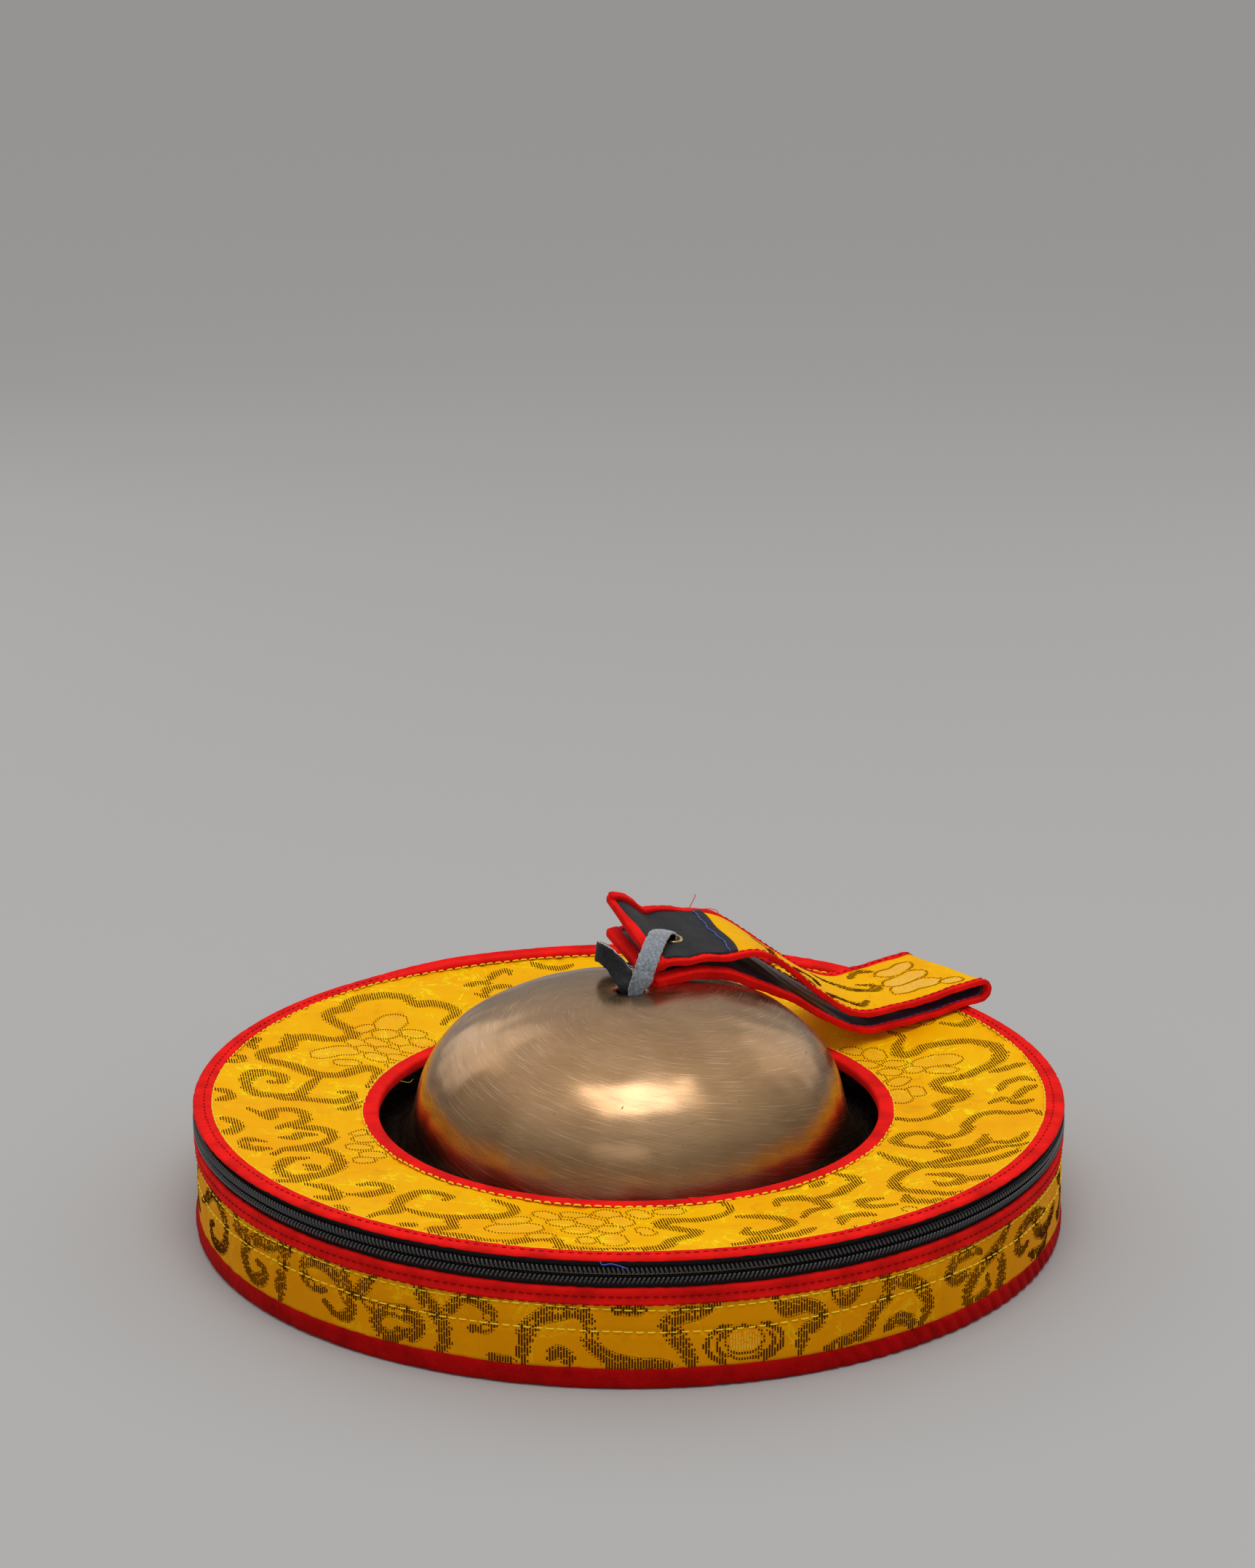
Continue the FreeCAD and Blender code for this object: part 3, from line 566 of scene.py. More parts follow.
def wadding():
    s = Shader("wadding", Sheen_Weight=0.6, Specular_IOR_Level=0.1)
    fluff = s.noise(240.0, 6.0, 0.75)
    return s.finish(s.ramp(fluff, (0.35, (0.55, 0.54, 0.50)), (0.65, (0.86, 0.85, 0.81))), 0.95,
                    s.bump(fluff, 0.9, 0.6))


M_LID = brocade("brocade_lid", "flat")
M_WALL = brocade("brocade_wall", "round")
M_STRAP = brocade("brocade_strap", "strap")
M_RED = red_cloth()
# painted shade: a darker copy of the red cloth for the foot piping, which sits low on the wall in shade
M_RED_SHADED = red_cloth("red_cloth_shaded", colour=(0.44, 0.0035, 0.004))
M_SEAM = thread("seam_thread_red", (0.36, 0.003, 0.003), 0.8, 0.0, 0.05)
M_GOLD = thread("yellow_thread", (1.0, 0.74, 0.035), 0.7, 0.0, 0.1)
M_CREAM = thread("cream_weft", (0.90, 0.62, 0.17), 0.6, 0.0, 0.2)
M_BROWN = thread("brown_weft", (0.088, 0.024, 0.001), 0.9, 0.0, 0.02)
M_PALE = thread("pale_gold_weft", (0.96, 0.54, 0.045), 0.6, 0.0, 0.1)
M_DOTTED = thread("outline_weft", (0.100, 0.029, 0.001), 0.9, 0.0, 0.02)
M_PLUM = satin_lining()
M_LINING = lining_cloth()
M_TAPE = zip_tape()
M_COIL = coil_nylon()
M_ENAMEL = enamel()
M_BRONZE = bronze()
M_BLACK = dark_leather()
M_SUEDE = suede()
M_EDGE = cut_edge()
M_EYELET = worn_brass()
M_BOARD = fibre_board()
M_WADDING = wadding()
MOTIF = [M_BROWN, M_PALE, M_DOTTED]
M_BLUE = thread("blue_thread", (0.06, 0.10, 0.62), 0.5)
M_VIOLET = thread("violet_thread", (0.13, 0.05, 0.36), 0.5)
M_REDTHREAD = thread("red_thread", (0.78, 0.03, 0.02), 0.6)


# ---- the case's surfaces -----------------------------------------------------------------------
COVER_IN_R = HOLE_R + 1.5
COVER_OUT_R = 147.1
WALL_BACK_R = 147.32        # back of the cloth and of the zip's tapes, on the padding

# light creases across the lid, as two ends each
CREASES = [(99, 62, 124, 2), (124, 2, 141, -26), (90, -38, 104, -72), (86, 118, 60, 136),
           (-141, 48, -112, 82), (133, 60, 143, 30), (-118, -92, -96, -112), (-60, 134, -28, 142)]


def lid_height(x, y):
    """Top of the lid's cloth: sagging towards the hole, puckered beside both seams."""
    r = np.hypot(x, y)
    rh = np.hypot(x, y - HOLE_Y)
    t = np.clip((r - 94.0) / 51.0, 0.0, 1.0)
    z = LID_LOW + LID_RISE * (0.55 * t + 0.45 * smooth01(t))
    theta = np.arctan2(x, -y)
    z = z + 0.24 * field(x, y, 34, 1) + 0.10 * field(x, y, 12, 2)
    rim = np.exp(-np.maximum(143.6 - r, 0) / 3.2)
    z = z + 0.20 * rim * ripple(theta, 3, 90, 190, 5)
    edge = np.exp(-np.maximum(rh - 91.3, 0) / 3.0)
    z = z + 0.16 * edge * ripple(theta, 4, 60, 120, 5)
    for x0, y0, x1, y1 in CREASES:
        dx, dy = x1 - x0, y1 - y0
        t = np.clip(((x - x0) * dx + (y - y0) * dy) / (dx * dx + dy * dy), 0, 1)
        d = np.hypot(x - x0 - t * dx, y - y0 - t * dy)
        z = z + 0.36 * np.exp(-(d / 0.9) ** 2) * np.sin(math.pi * np.clip(t, 0.04, 0.96))
    # the cloth passes level under both bindings
    under_rim = smooth01((r - 143.2) / 1.2)
    under_hole = 1.0 - smooth01((rh - 90.4) / 1.2)
    z = z * (1 - under_rim) + 44.18 * under_rim
    z = z * (1 - under_hole) + 39.58 * under_hole
    board = 38.8 + LID_RISE * np.clip((r - 96.0) / 48.0, 0.0, 1.0)
    return np.maximum(z, board + 0.15)


def wall_radius(theta, z):
    """Face of the padded wall: nearly upright, pulled in a little along each line of stitches."""
    r = 149.05 + 0.10 * ripple(theta, 11, 5, 30) + 0.05 * ripple(theta, 12, 60, 150)
    for seam, deep in ((upper_seam, 0.28), (lower_seam, 0.34)):
        r = r - deep * np.exp(-((z - seam(theta)) / 0.9) ** 2)
    bulge = np.sin(math.pi * np.clip((z - 7.2) / 21.5, 0, 1))
    return r + 0.16 * bulge * (1 + 0.5 * ripple(theta, 13, 20, 60))


def upper_seam(theta):
    return 27.35 + 0.25 * ripple(theta, 14, 3, 12)


def lower_seam(theta):
    return 20.6 - 1.3 * np.exp(-(theta / 0.55) ** 2) + 0.35 * ripple(theta, 15, 3, 10)


# ---- the woven pattern ---------------------------------------------------------------------------
SCROLL, PETAL = 1, 2                        # what is drawn at a place
BROWN, PALE, DOTTED = 1, 2, 3               # and which kind of float is woven there
FLOAT_LENGTH = {BROWN: (1.9, 4.6, 0.24), PALE: (1.6, 4.2, 0.5), DOTTED: (0.7, 1.3, 0.30)}
FLOAT_HALF = [0.0, 0.30, 0.20, 0.28]        # half a float's width, by its kind
FLOAT_RISE = [0.0, 0.10, 0.05, 0.08]        # and how far it stands up


def woven(strokes, petals, heading, box, inside, place, seed, swell=1.0, bold=1.0):
    """Raised weft floats that fill scrolls and petals drawn on the cloth.

    strokes and petals are (width, [points]), and swell and bold widen all the strokes and
    floats. Floats run along heading. inside(x, y) keeps to the cloth, and place(x, y, h) is the
    point h above it. Returns (verts, faces) and the faces' materials.
    """
    pitch, step = 0.45, 0.15        # from column to column, and along a column
    far = 9.0                       # distance where nothing is drawn
    end_taper = 0.45                # a stroke's width at its ends, as a share
    vx, vy = math.cos(heading), math.sin(heading)
    x0, x1, y0, y1 = box
    corner = np.array([(x, y) for x in (x0, x1) for y in (y0, y1)], float)
    cu = corner @ np.array([vy, -vx])
    cv = corner @ np.array([vx, vy])
    u0, v0 = cu.min(), cv.min()
    nu, nv = int((cu.max() - u0) / pitch) + 2, int((cv.max() - v0) / step) + 2
    score = np.full((nu, nv), far)
    dist = np.full((nu, nv), far)
    half = np.ones((nu, nv))
    kind = np.zeros((nu, nv), np.int8)

    def stamp(points, halves, as_petal):
        """Draws a stroke of varying half width on the grid."""
        pu = points @ np.array([vy, -vx])
        pv = points @ np.array([vx, vy])
        reach = halves.max() + 0.8
        a0 = max(int((pu.min() - reach - u0) / pitch), 0)
        a1 = min(int((pu.max() + reach - u0) / pitch) + 2, nu)
        b0 = max(int((pv.min() - reach - v0) / step), 0)
        b1 = min(int((pv.max() + reach - v0) / step) + 2, nv)
        if a0 >= a1 or b0 >= b1:
            return
        best = np.full((a1 - a0, b1 - b0), far)
        bd = np.full_like(best, far)
        bh = np.ones_like(best)
        for u, v, h in zip(pu, pv, halves):
            r = h + 0.8
            i0, i1 = max(int((u - r - u0) / pitch), a0), min(int((u + r - u0) / pitch) + 2, a1)
            j0, j1 = max(int((v - r - v0) / step), b0), min(int((v + r - v0) / step) + 2, b1)
            if i0 >= i1 or j0 >= j1:
                continue
            gu = (np.arange(i0, i1) * pitch + u0 - u)[:, None]
            gv = (np.arange(j0, j1) * step + v0 - v)[None, :]
            d = np.hypot(gu, gv)
            part = (slice(i0 - a0, i1 - a0), slice(j0 - b0, j1 - b0))
            better = d - h < best[part]
            best[part][better] = (d - h)[better]
            bd[part][better] = d[better]
            bh[part][better] = h
        area = (slice(a0, a1), slice(b0, b1))
        if as_petal:
            win = best < 0.0
            kind[area][win] = PETAL
        else:
            win = best < score[area]
            kind[area][win & (best < 0.6)] = SCROLL
        score[area][win] = best[win]
        dist[area][win] = bd[win]
        half[area][win] = bh[win]

    for width, points in strokes:
        line = curve_through(points, 0.5)
        t = np.linspace(0, 1, len(line))
        grow = end_taper + (1 - end_taper) * smooth01(np.minimum(t, 1 - t) * 5.0)
        wobble = 1.0 + 0.10 * np.sin(t * 19.0 + width * 7)
        stamp(line, width / 2 * grow * wobble * swell, False)
    for width, points in petals:
        line = curve_through(points, 0.5)
        t = np.linspace(0, 1, len(line))
        grow = 0.35 + 0.65 * smooth01(np.minimum(t, 1 - t) * 3.2 + 0.25)
        stamp(line, width / 2 * grow * 1.12, True)

    # a scroll is a solid core between two dotted outlines; a petal is outlined and faint inside
    share = dist / half
    code = np.zeros((nu, nv), np.int8)
    scroll = (kind == SCROLL) & (score < 0)
    code[scroll & ((share < 0.74) | (half < 1.4))] = BROWN
    code[scroll & (share > 0.86) & (half >= 1.4)] = DOTTED
    petal = (kind == PETAL) & (score < 0)
    code[petal & (score < -1.45)] = PALE
    code[petal & (score > -1.05)] = DOTTED
    odd = np.arange(nu) % 2 == 1
    code[np.ix_(odd, np.ones(nv, bool))] = 0
    edges = np.diff(np.pad(code, ((0, 0), (1, 1))), axis=1) != 0
    rng = np.random.default_rng(seed)
    floats = []
    for col in np.nonzero(edges.any(axis=1))[0]:
        marks = np.nonzero(edges[col])[0]
        for a, b in zip(marks, marks[1:]):
            c = code[col, a]
            if c == 0:
                continue
            start, end = v0 + a * step, v0 + b * step
            if c == BROWN:
                start, end = start - rng.uniform(-0.15, 0.45), end + rng.uniform(-0.15, 0.45)
            least, most, gap = FLOAT_LENGTH[c]
            while end - start > 0.28:
                length = min(rng.uniform(least, most), end - start)
                if end - start - length < 0.5:
                    length = end - start
                floats.append((u0 + col * pitch, start, start + length, c))
                start += length + gap
    data = np.array(floats)
    mid = (data[:, 1] + data[:, 2]) / 2
    mx, my = data[:, 0] * vy + mid * vx, -data[:, 0] * vx + mid * vy
    keep = inside(mx, my)
    data = data[keep]
    wide = bold * np.choose(data[:, 3].astype(int), FLOAT_HALF)
    tall = np.choose(data[:, 3].astype(int), FLOAT_RISE)
    verts = np.zeros((len(data), 8, 3))
    lean = np.minimum(0.12, (data[:, 2] - data[:, 1]) * 0.25)
    n = 0
    for level in (0, 1):
        for end in (0, 1):
            for side in (-1, 1):
                u = data[:, 0] + side * wide * (1.0 if level == 0 else 0.72)
                v = data[:, 1 + end] + (0 if level == 0 else (1 - 2 * end) * lean)
                h = np.where(level == 0, -0.12, tall)
                verts[:, n] = place(u * vy + v * vx, -u * vx + v * vy, h)
                n += 1
    box_faces = np.array([(0, 1, 3, 2), (4, 6, 7, 5), (0, 4, 5, 1), (2, 3, 7, 6), (0, 2, 6, 4),
                          (1, 5, 7, 3)])
    faces = (box_faces[None] + 8 * np.arange(len(data))[:, None, None]).reshape(-1, 4)
    tones = np.repeat(data[:, 3].astype(int) - 1, 6)
    return (verts.reshape(-1, 3), faces), tones


# Scrolls on the lid, as width and points in the row frame's x, y.
LID_SCROLLS = [
    (5.0, [(-98, 58), (-107, 57), (-116, 56), (-121, 52), (-121, 46), (-127, 42), (-130, 36),
           (-126, 31), (-118, 29), (-114, 25), (-109, 22), (-102, 23), (-97, 28), (-92, 32),
           (-88, 30), (-89, 23), (-91, 16)]),
    (5.0, [(-122, 56), (-112, 55), (-103, 57), (-99, 61), (-100, 66), (-105, 70), (-109, 76),
           (-107, 81), (-103, 84), (-102, 90), (-97, 96), (-89, 99), (-82, 98), (-78, 93),
           (-72, 94), (-66, 92), (-63, 87), (-66, 82), (-67, 77)]),
    (4.5, [(-108, 20), (-111, 13), (-113, 6), (-113, 0), (-107, -2), (-100, -1), (-96, 3),
           (-96, 8), (-100, 8)]),
    (4.0, [(-92, -1), (-95, -6), (-99, -9)]),
    (4.5, [(-125, 13), (-121, 14), (-121, 18), (-126, 20), (-131, 17), (-133, 11), (-132, 5),
           (-127, 1), (-120, 2), (-115, 4)]),
    (4.0, [(-122, -1), (-117, -2), (-112, 1)]),
    (3.5, [(-141, 26), (-137, 27), (-136, 32), (-139, 35)]),
    (4.0, [(-133, 42), (-134, 48), (-132, 51)]),
    (4.0, [(-143, 0), (-139, -1), (-137, -6), (-141, -10)]),
    (4.0, [(-130, -16), (-126, -19), (-122, -22), (-122, -17), (-117, -14), (-112, -15),
           (-110, -20), (-113, -25), (-117, -28), (-119, -31)]),
    (4.5, [(-113, -28), (-107, -27), (-102, -29), (-100, -35), (-102, -41), (-107, -46),
           (-111, -49)]),
    (4.0, [(-117, -40), (-112, -38), (-111, -34), (-106, -33)]),
    (4.5, [(-138, -27), (-134, -29), (-132, -34), (-134, -39), (-139, -40)]),
    (4.0, [(-122, -46), (-127, -46), (-129, -50), (-126, -54), (-120, -53)]),
    (5.0, [(-118, -57), (-114, -51), (-107, -49), (-101, -51), (-97, -56), (-96, -63), (-99, -71),
           (-104, -78), (-111, -83), (-117, -85)]),
    (4.0, [(-107, -58), (-112, -60), (-115, -66), (-115, -73), (-111, -78), (-106, -77),
           (-104, -74)]),
    (3.6, [(-107, -64), (-103, -67), (-106, -70)]),
    (4.0, [(-105, -85), (-99, -87), (-95, -91), (-95, -96), (-101, -96)]),
    (4.5, [(-88, -82), (-83, -80), (-79, -83), (-80, -88), (-85, -92), (-91, -92)]),
    (4.5, [(-60, -92), (-58, -88), (-63, -84), (-69, -86), (-73, -93), (-75, -100), (-75, -106),
           (-80, -111), (-84, -116)]),
    (4.0, [(-74, -103), (-67, -107), (-60, -109), (-50, -108), (-41, -107), (-37, -102),
           (-38, -96), (-44, -90)]),
    (4.0, [(-94, -105), (-91, -108)]),
    (3.5, [(-73, -119), (-68, -119)]),
    (5.0, [(-36, -109), (-46, -110), (-55, -110), (-57, -115), (-56, -120), (-62, -123),
           (-60, -128), (-53, -130), (-47, -134), (-40, -136), (-34, -133), (-29, -130),
           (-23, -131), (-21, -137), (-15, -141), (-5, -142), (5, -141), (12, -138), (14, -132),
           (20, -127), (21, -122), (15, -118), (10, -114), (12, -110), (20, -108), (29, -105),
           (33, -99), (31, -93)]),
    (4.5, [(35, -106), (42, -106), (48, -110), (52, -117), (49, -122), (43, -126), (37, -125),
           (38, -120)]),
    (4.0, [(33, -136), (38, -134), (41, -131), (48, -131), (55, -128), (59, -123)]),
    (4.5, [(56, -110), (59, -104), (64, -100), (61, -93), (55, -89), (49, -91), (48, -96)]),
    (4.5, [(59, -92), (66, -88), (71, -82), (75, -76), (73, -71), (69, -67)]),
    (4.0, [(82, -94), (77, -94), (75, -98), (79, -103), (86, -102)]),
    (4.0, [(68, -118), (69, -112), (74, -109), (79, -111)]),
    (3.5, [(71, -122), (77, -121), (79, -117)]),
    (4.0, [(134, -49), (124, -52), (114, -56), (104, -60), (96, -65), (90, -71), (87, -79),
           (89, -87), (95, -92), (103, -94), (109, -92)]),
    (4.5, [(131, -55), (122, -61), (112, -64), (102, -65), (94, -61), (88, -55), (84, -49)]),
    (4.0, [(90, -94), (91, -100), (97, -102), (103, -99)]),
    (4.0, [(99, -73), (104, -75), (109, -79), (108, -84), (103, -86), (100, -83)]),
    (3.5, [(111, -81), (119, -79)]),
    (3.6, [(60, -78), (64, -74)]),
    (4.0, [(107, -47), (100, -46), (92, -42), (90, -36), (94, -31), (100, -30), (104, -34),
           (106, -38), (112, -36), (115, -31), (115, -26), (119, -20), (126, -18), (132, -20),
           (138, -19), (141, -25)]),
    (4.0, [(102, -41), (106, -47)]),
    (4.5, [(103, -51), (108, -53), (115, -51), (119, -46), (120, -40)]),
    (3.0, [(121, -47), (127, -47), (132, -44), (134, -40)]),
    (5.0, [(91, -17), (98, -18), (105, -15), (109, -9), (107, -5), (114, -1), (116, 3), (111, 8),
           (107, 13), (110, 18), (117, 19), (122, 23), (128, 28), (131, 34), (131, 41), (128, 47),
           (122, 51), (114, 51), (106, 49), (100, 44), (96, 46), (96, 53), (98, 60), (94, 65)]),
    (3.5, [(124, -9), (129, -6), (133, -10), (139, -8)]),
    (3.5, [(128, 2), (131, 8), (137, 12), (141, 10)]),
    (3.5, [(133, -6), (136, 0), (141, 4)]),
    (3.5, [(127, 21), (133, 23), (139, 26)]),
    (3.5, [(-60, 111), (-56, 114), (-51, 114)]),
    (3.5, [(-52, 117), (-50, 122), (-46, 126), (-44, 123)]),
    (3.5, [(-56, 104), (-53, 103), (-52, 109), (-46, 112), (-42, 111)]),
    (4.0, [(-36, 134), (-32, 130), (-26, 129), (-21, 133)]),
    # not seen in the picture: the same kinds of scroll carried on behind the strap
    (4.0, [(0, 134), (6, 128), (2, 122), (-6, 121), (-10, 126)]),
    (4.5, [(20, 130), (28, 124), (36, 126), (40, 120), (36, 114), (30, 116)]),
    (4.5, [(48, 128), (54, 120), (62, 118), (68, 112), (66, 105), (60, 104), (57, 109)]),
    (4.5, [(80, 112), (76, 104), (80, 96), (88, 94), (94, 88), (90, 82), (84, 84)]),
    (4.5, [(104, 92), (110, 84), (118, 80), (124, 72), (120, 66), (113, 68)]),
    (4.0, [(-20, 108), (-14, 114), (-6, 112), (-4, 104), (-10, 100)]),
    (4.0, [(14, 106), (22, 104), (26, 96), (20, 92)]),
]
LID_PETALS = [
    (9.0, [(-111, 40), (-104, 45), (-97, 47)]), (7.0, [(-99, 56), (-94, 52)]),
    (7.0, [(-92, 58), (-88, 55)]), (7.0, [(-84, 62), (-80, 58)]), (7.5, [(-76, 62), (-72, 57)]),
    (7.0, [(-95, 50), (-90, 48)]), (7.0, [(-88, 51), (-83, 49)]), (7.0, [(-80, 54), (-75, 51)]),
    (6.5, [(-92, 44), (-87, 41)]), (6.5, [(-84, 45), (-79, 43)]), (10.0, [(-88, 70), (-84, 80)]),
    (6.0, [(-97, 66), (-93, 70)]), (7.0, [(-90, 64), (-85, 66)]), (7.0, [(-80, 68), (-75, 66)]),
    (6.0, [(-96, 36), (-103, 34)]), (5.0, [(-84, 38), (-82, 33)]),
    (9.5, [(-44, -121), (-36, -121), (-29, -118)]), (7.0, [(-42, -113), (-33, -111)]),
    (7.0, [(-29, -103), (-24, -107)]), (7.0, [(-20, -102), (-15, -105)]),
    (7.5, [(-9, -101), (-5, -105)]), (7.0, [(2, -102), (5, -106)]), (7.0, [(-24, -112), (-19, -113)]),
    (7.5, [(-15, -109), (-10, -113)]), (7.5, [(-4, -109), (-1, -114)]),
    (7.0, [(-19, -119), (-14, -120)]), (7.0, [(-8, -118), (-4, -120)]),
    (6.0, [(-25, -126), (-31, -128)]), (6.0, [(-14, -127), (-13, -133)]),
    (9.0, [(-6, -126), (-4, -133)]), (5.5, [(4, -118), (7, -124)]), (6.0, [(9, -101), (17, -99)]),
    (9.5, [(116, 35), (108, 36), (102, 33)]), (7.0, [(114, 26), (106, 27)]),
    (7.0, [(78, 51), (82, 48)]), (8.0, [(87, 49), (88, 43)]), (7.0, [(82, 38), (86, 36)]),
    (7.0, [(92, 38), (96, 36)]), (7.0, [(90, 30), (94, 28)]), (6.5, [(99, 30), (102, 28)]),
    (6.5, [(86, 25), (88, 21)]), (7.0, [(96, 21), (93, 17)]), (6.0, [(99, 12), (101, 6)]),
    (9.0, [(93, 10), (94, 0)]), (5.0, [(-93, -31), (-90, -29)]), (7.0, [(-91, -37), (-86, -34)]),
    (6.5, [(-93, -45), (-88, -44)]), (6.5, [(-88, -51), (-83, -50)]), (6.0, [(-90, -57), (-86, -56)]),
    (4.5, [(89, -107), (92, -110)]), (5.5, [(18, 118), (24, 116)]), (5.5, [(8, 114), (12, 109)]),
    (6.0, [(98, 72), (104, 70)]), (6.0, [(106, 76), (108, 70)]),
]


def on_lid(x, y):
    return (np.hypot(x, y) < 143.4) & (np.hypot(x, y - HOLE_Y) > 91.6)


def lid_place(x, y, h):
    return np.stack([x, y, lid_height(x, y) + h], -1)


# Scrolls on the wall, as width and points: mm along the wall from the front, and height.
WALL_SCROLLS = [
    (5.0, [(-197, 19), (-190, 21), (-185, 25), (-179, 28), (-172, 26), (-167, 22), (-166, 17),
           (-169, 12), (-175, 10), (-181, 11), (-183, 15), (-179, 17)]),
    (4.5, [(-156, 30), (-157, 25), (-152, 23), (-149, 26)]),
    (5.0, [(-128, 27), (-134, 25), (-141, 25), (-147, 22), (-151, 17), (-149, 12), (-144, 10),
           (-139, 12), (-138, 15), (-142, 17)]),
    (5.5, [(-122, 31), (-126, 25), (-128, 19), (-129, 13), (-130, 6)]),
    (4.5, [(-107, 18), (-112, 18), (-117, 21), (-115, 26), (-108, 27), (-102, 24), (-99, 20),
           (-96, 16), (-97, 12), (-102, 11), (-107, 14)]),
    (4.5, [(-98, 31), (-98, 25), (-95, 20), (-91, 23), (-86, 28)]),
    (5.0, [(-92, 20), (-86, 17), (-80, 18), (-74, 18), (-69, 15), (-72, 11), (-77, 12)]),
    (5.0, [(-84, 16), (-85, 12), (-81, 8), (-76, 10)]),
    (5.5, [(-71, 30), (-67, 24), (-62, 19), (-60, 13), (-63, 5)]),
    (4.5, [(-61, 20), (-57, 24), (-53, 28), (-47, 26), (-44, 22), (-46, 18), (-51, 17)]),
    (5.5, [(-34, 6), (-34, 11), (-33, 17), (-30, 22), (-25, 25), (-18, 26), (-14, 24)]),
    (5.0, [(-14, 29), (-13, 24), (-12, 16), (-7, 11), (-2, 9), (9, 8), (17, 6)]),
    (4.5, [(-9, 7), (-3, 8), (3, 8), (9, 7)]),
    (4.5, [(-45, 8), (-41, 7), (-37, 7)]),
    (4.5, [(-25, 10), (-23, 12), (-20, 11), (-19, 8)]),
    (3.5, [(-5, 27), (5, 27)]),
    (5.5, [(21, 6), (18, 13), (14, 19), (12, 22), (17, 25), (23, 26), (28, 28)]),
    (5.0, [(47, 28), (50, 24), (58, 24), (62, 21), (61, 17), (57, 15), (55, 7)]),
    (4.5, [(67, 27), (72, 23), (77, 28)]),
    (4.5, [(63, 7), (71, 9), (79, 11), (83, 17), (88, 22), (87, 27), (82, 30)]),
    (5.0, [(89, 26), (97, 24), (102, 20), (105, 14), (102, 8)]),
    (4.5, [(87, 10), (92, 12), (97, 10), (98, 6)]),
    (4.5, [(125, 19), (118, 18), (115, 21), (118, 25), (125, 26), (131, 24)]),
    (5.0, [(150, 29), (143, 23), (135, 20), (129, 17), (124, 12), (125, 8), (131, 7), (136, 10),
           (135, 14)]),
    (5.5, [(143, 20), (144, 13), (143, 5)]),
    (4.5, [(163, 16), (158, 15), (154, 18), (157, 22), (164, 24), (172, 23), (180, 21)]),
    (5.0, [(168, 24), (172, 17), (180, 14), (187, 15), (193, 19)]),
    (4.5, [(165, 11), (171, 9), (178, 8), (184, 11)]),
    (5.0, [(196, 28), (203, 24), (208, 17), (204, 11), (198, 13)]),
    (5.0, [(214, 7), (219, 14), (226, 18), (232, 24)]),
    (5.0, [(-206, 30), (-212, 24), (-210, 16), (-204, 12)]),
    (5.0, [(-218, 8), (-224, 14), (-230, 19), (-234, 26)]),
]
WALL_PETALS = [(9.0, [(35, 13), (39, 13)]), (9.0, [(34, 15), (40, 15)])]
ROUNDEL = (37.0, 14.0)


def arc(rx, ry, start, end, width):
    """Part of an ellipse round the wall's roundel, as a stroke: degrees from its right-hand end."""
    points = []
    for a in np.radians(np.linspace(start, end, 13)):
        points.append((ROUNDEL[0] + rx * math.cos(a), ROUNDEL[1] + ry * math.sin(a)))
    return (width, points)


WALL_SCROLLS += [arc(12.5, 7.0, 112, 262, 1.7), arc(12.5, 7.0, -70, 66, 1.7),
                 arc(9.0, 5.4, 70, 235, 1.5), arc(9.6, 5.6, -85, 40, 1.5)]


def wall_place(s, z, h):
    theta = s / WALL_R
    return around(theta, wall_radius(theta, z) + h, z)


def on_wall(s, z):
    return (z > 7.8) & (z < 28.3) & (np.abs(s) < WALL_R * math.pi)


# ---- the case -----------------------------------------------------------------------------------
def make_lid():
    n, m = 46, 880
    theta = np.linspace(0, TAU, m, endpoint=False)[None, :]
    t = np.linspace(0, 1, n)[:, None]
    inner = np.stack([COVER_IN_R * np.sin(theta), HOLE_Y - COVER_IN_R * np.cos(theta)], -1)
    outer = np.stack([COVER_OUT_R * np.sin(theta), -COVER_OUT_R * np.cos(theta)], -1)
    xy = inner * (1 - t[..., None]) + outer * t[..., None]
    x, y = xy[..., 0], xy[..., 1]
    top = lid_place(x, y, 0)
    under = LID_LOW + LID_RISE * np.clip((np.hypot(x, y) - 96.0) / 48.0, 0, 1) - 0.78
    bottom = np.stack([x, y, np.minimum(under, top[..., 2] - 0.3)], -1)
    cover = piece("lid_brocade", closed_sheet(top, bottom, True), M_LID, "lid", "brocade",
                  ["lid_cover"])
    skin, tones = woven(LID_SCROLLS, LID_PETALS, math.pi / 2 + WEAVE_TURN, (-145, 145, -145, 145),
                        on_lid, lid_place, 5, swell=1.18, bold=0.88)
    motif = piece("lid_brocade_pattern", skin, MOTIF, "lid", "brocade", tones=tones, smooth=False)
    return cover, motif


def make_wall():
    n, m = 26, 1500
    theta = np.linspace(-math.pi, math.pi, m, endpoint=False)[None, :]
    z = np.linspace(6.9, 28.75, n)[:, None] + 0 * theta
    face = around(theta, wall_radius(theta + 0 * z, z), z)
    back = around(theta, WALL_BACK_R, z)
    wall = piece("wall_brocade", closed_sheet(face[::-1], back[::-1], True), M_WALL, "case",
                 "brocade", ["wall_cover"])
    # the scrolls of the front half are repeated, turned round, on the back half
    half = WALL_R * math.pi
    behind = []
    for width, points in WALL_SCROLLS:
        if max(abs(s) for s, z in points) < 205:
            far = math.copysign(half, points[0][0])
            behind.append((width, [(far - s, z) for s, z in points]))
    skin, tones = woven(WALL_SCROLLS + behind, WALL_PETALS, math.pi / 2, (-half, half, 7, 29),
                        on_wall, wall_place, 6, swell=1.10, bold=1.18)
    motif = piece("wall_brocade_pattern", skin, MOTIF, "case", "brocade", tones=tones, smooth=False)
    return wall, motif


def at_back(theta):
    """1 where the hinge's cloth is folded under the rim's tape, at the back, and 0 elsewhere."""
    return smooth01((np.abs(theta) - math.radians(138)) / math.radians(16))


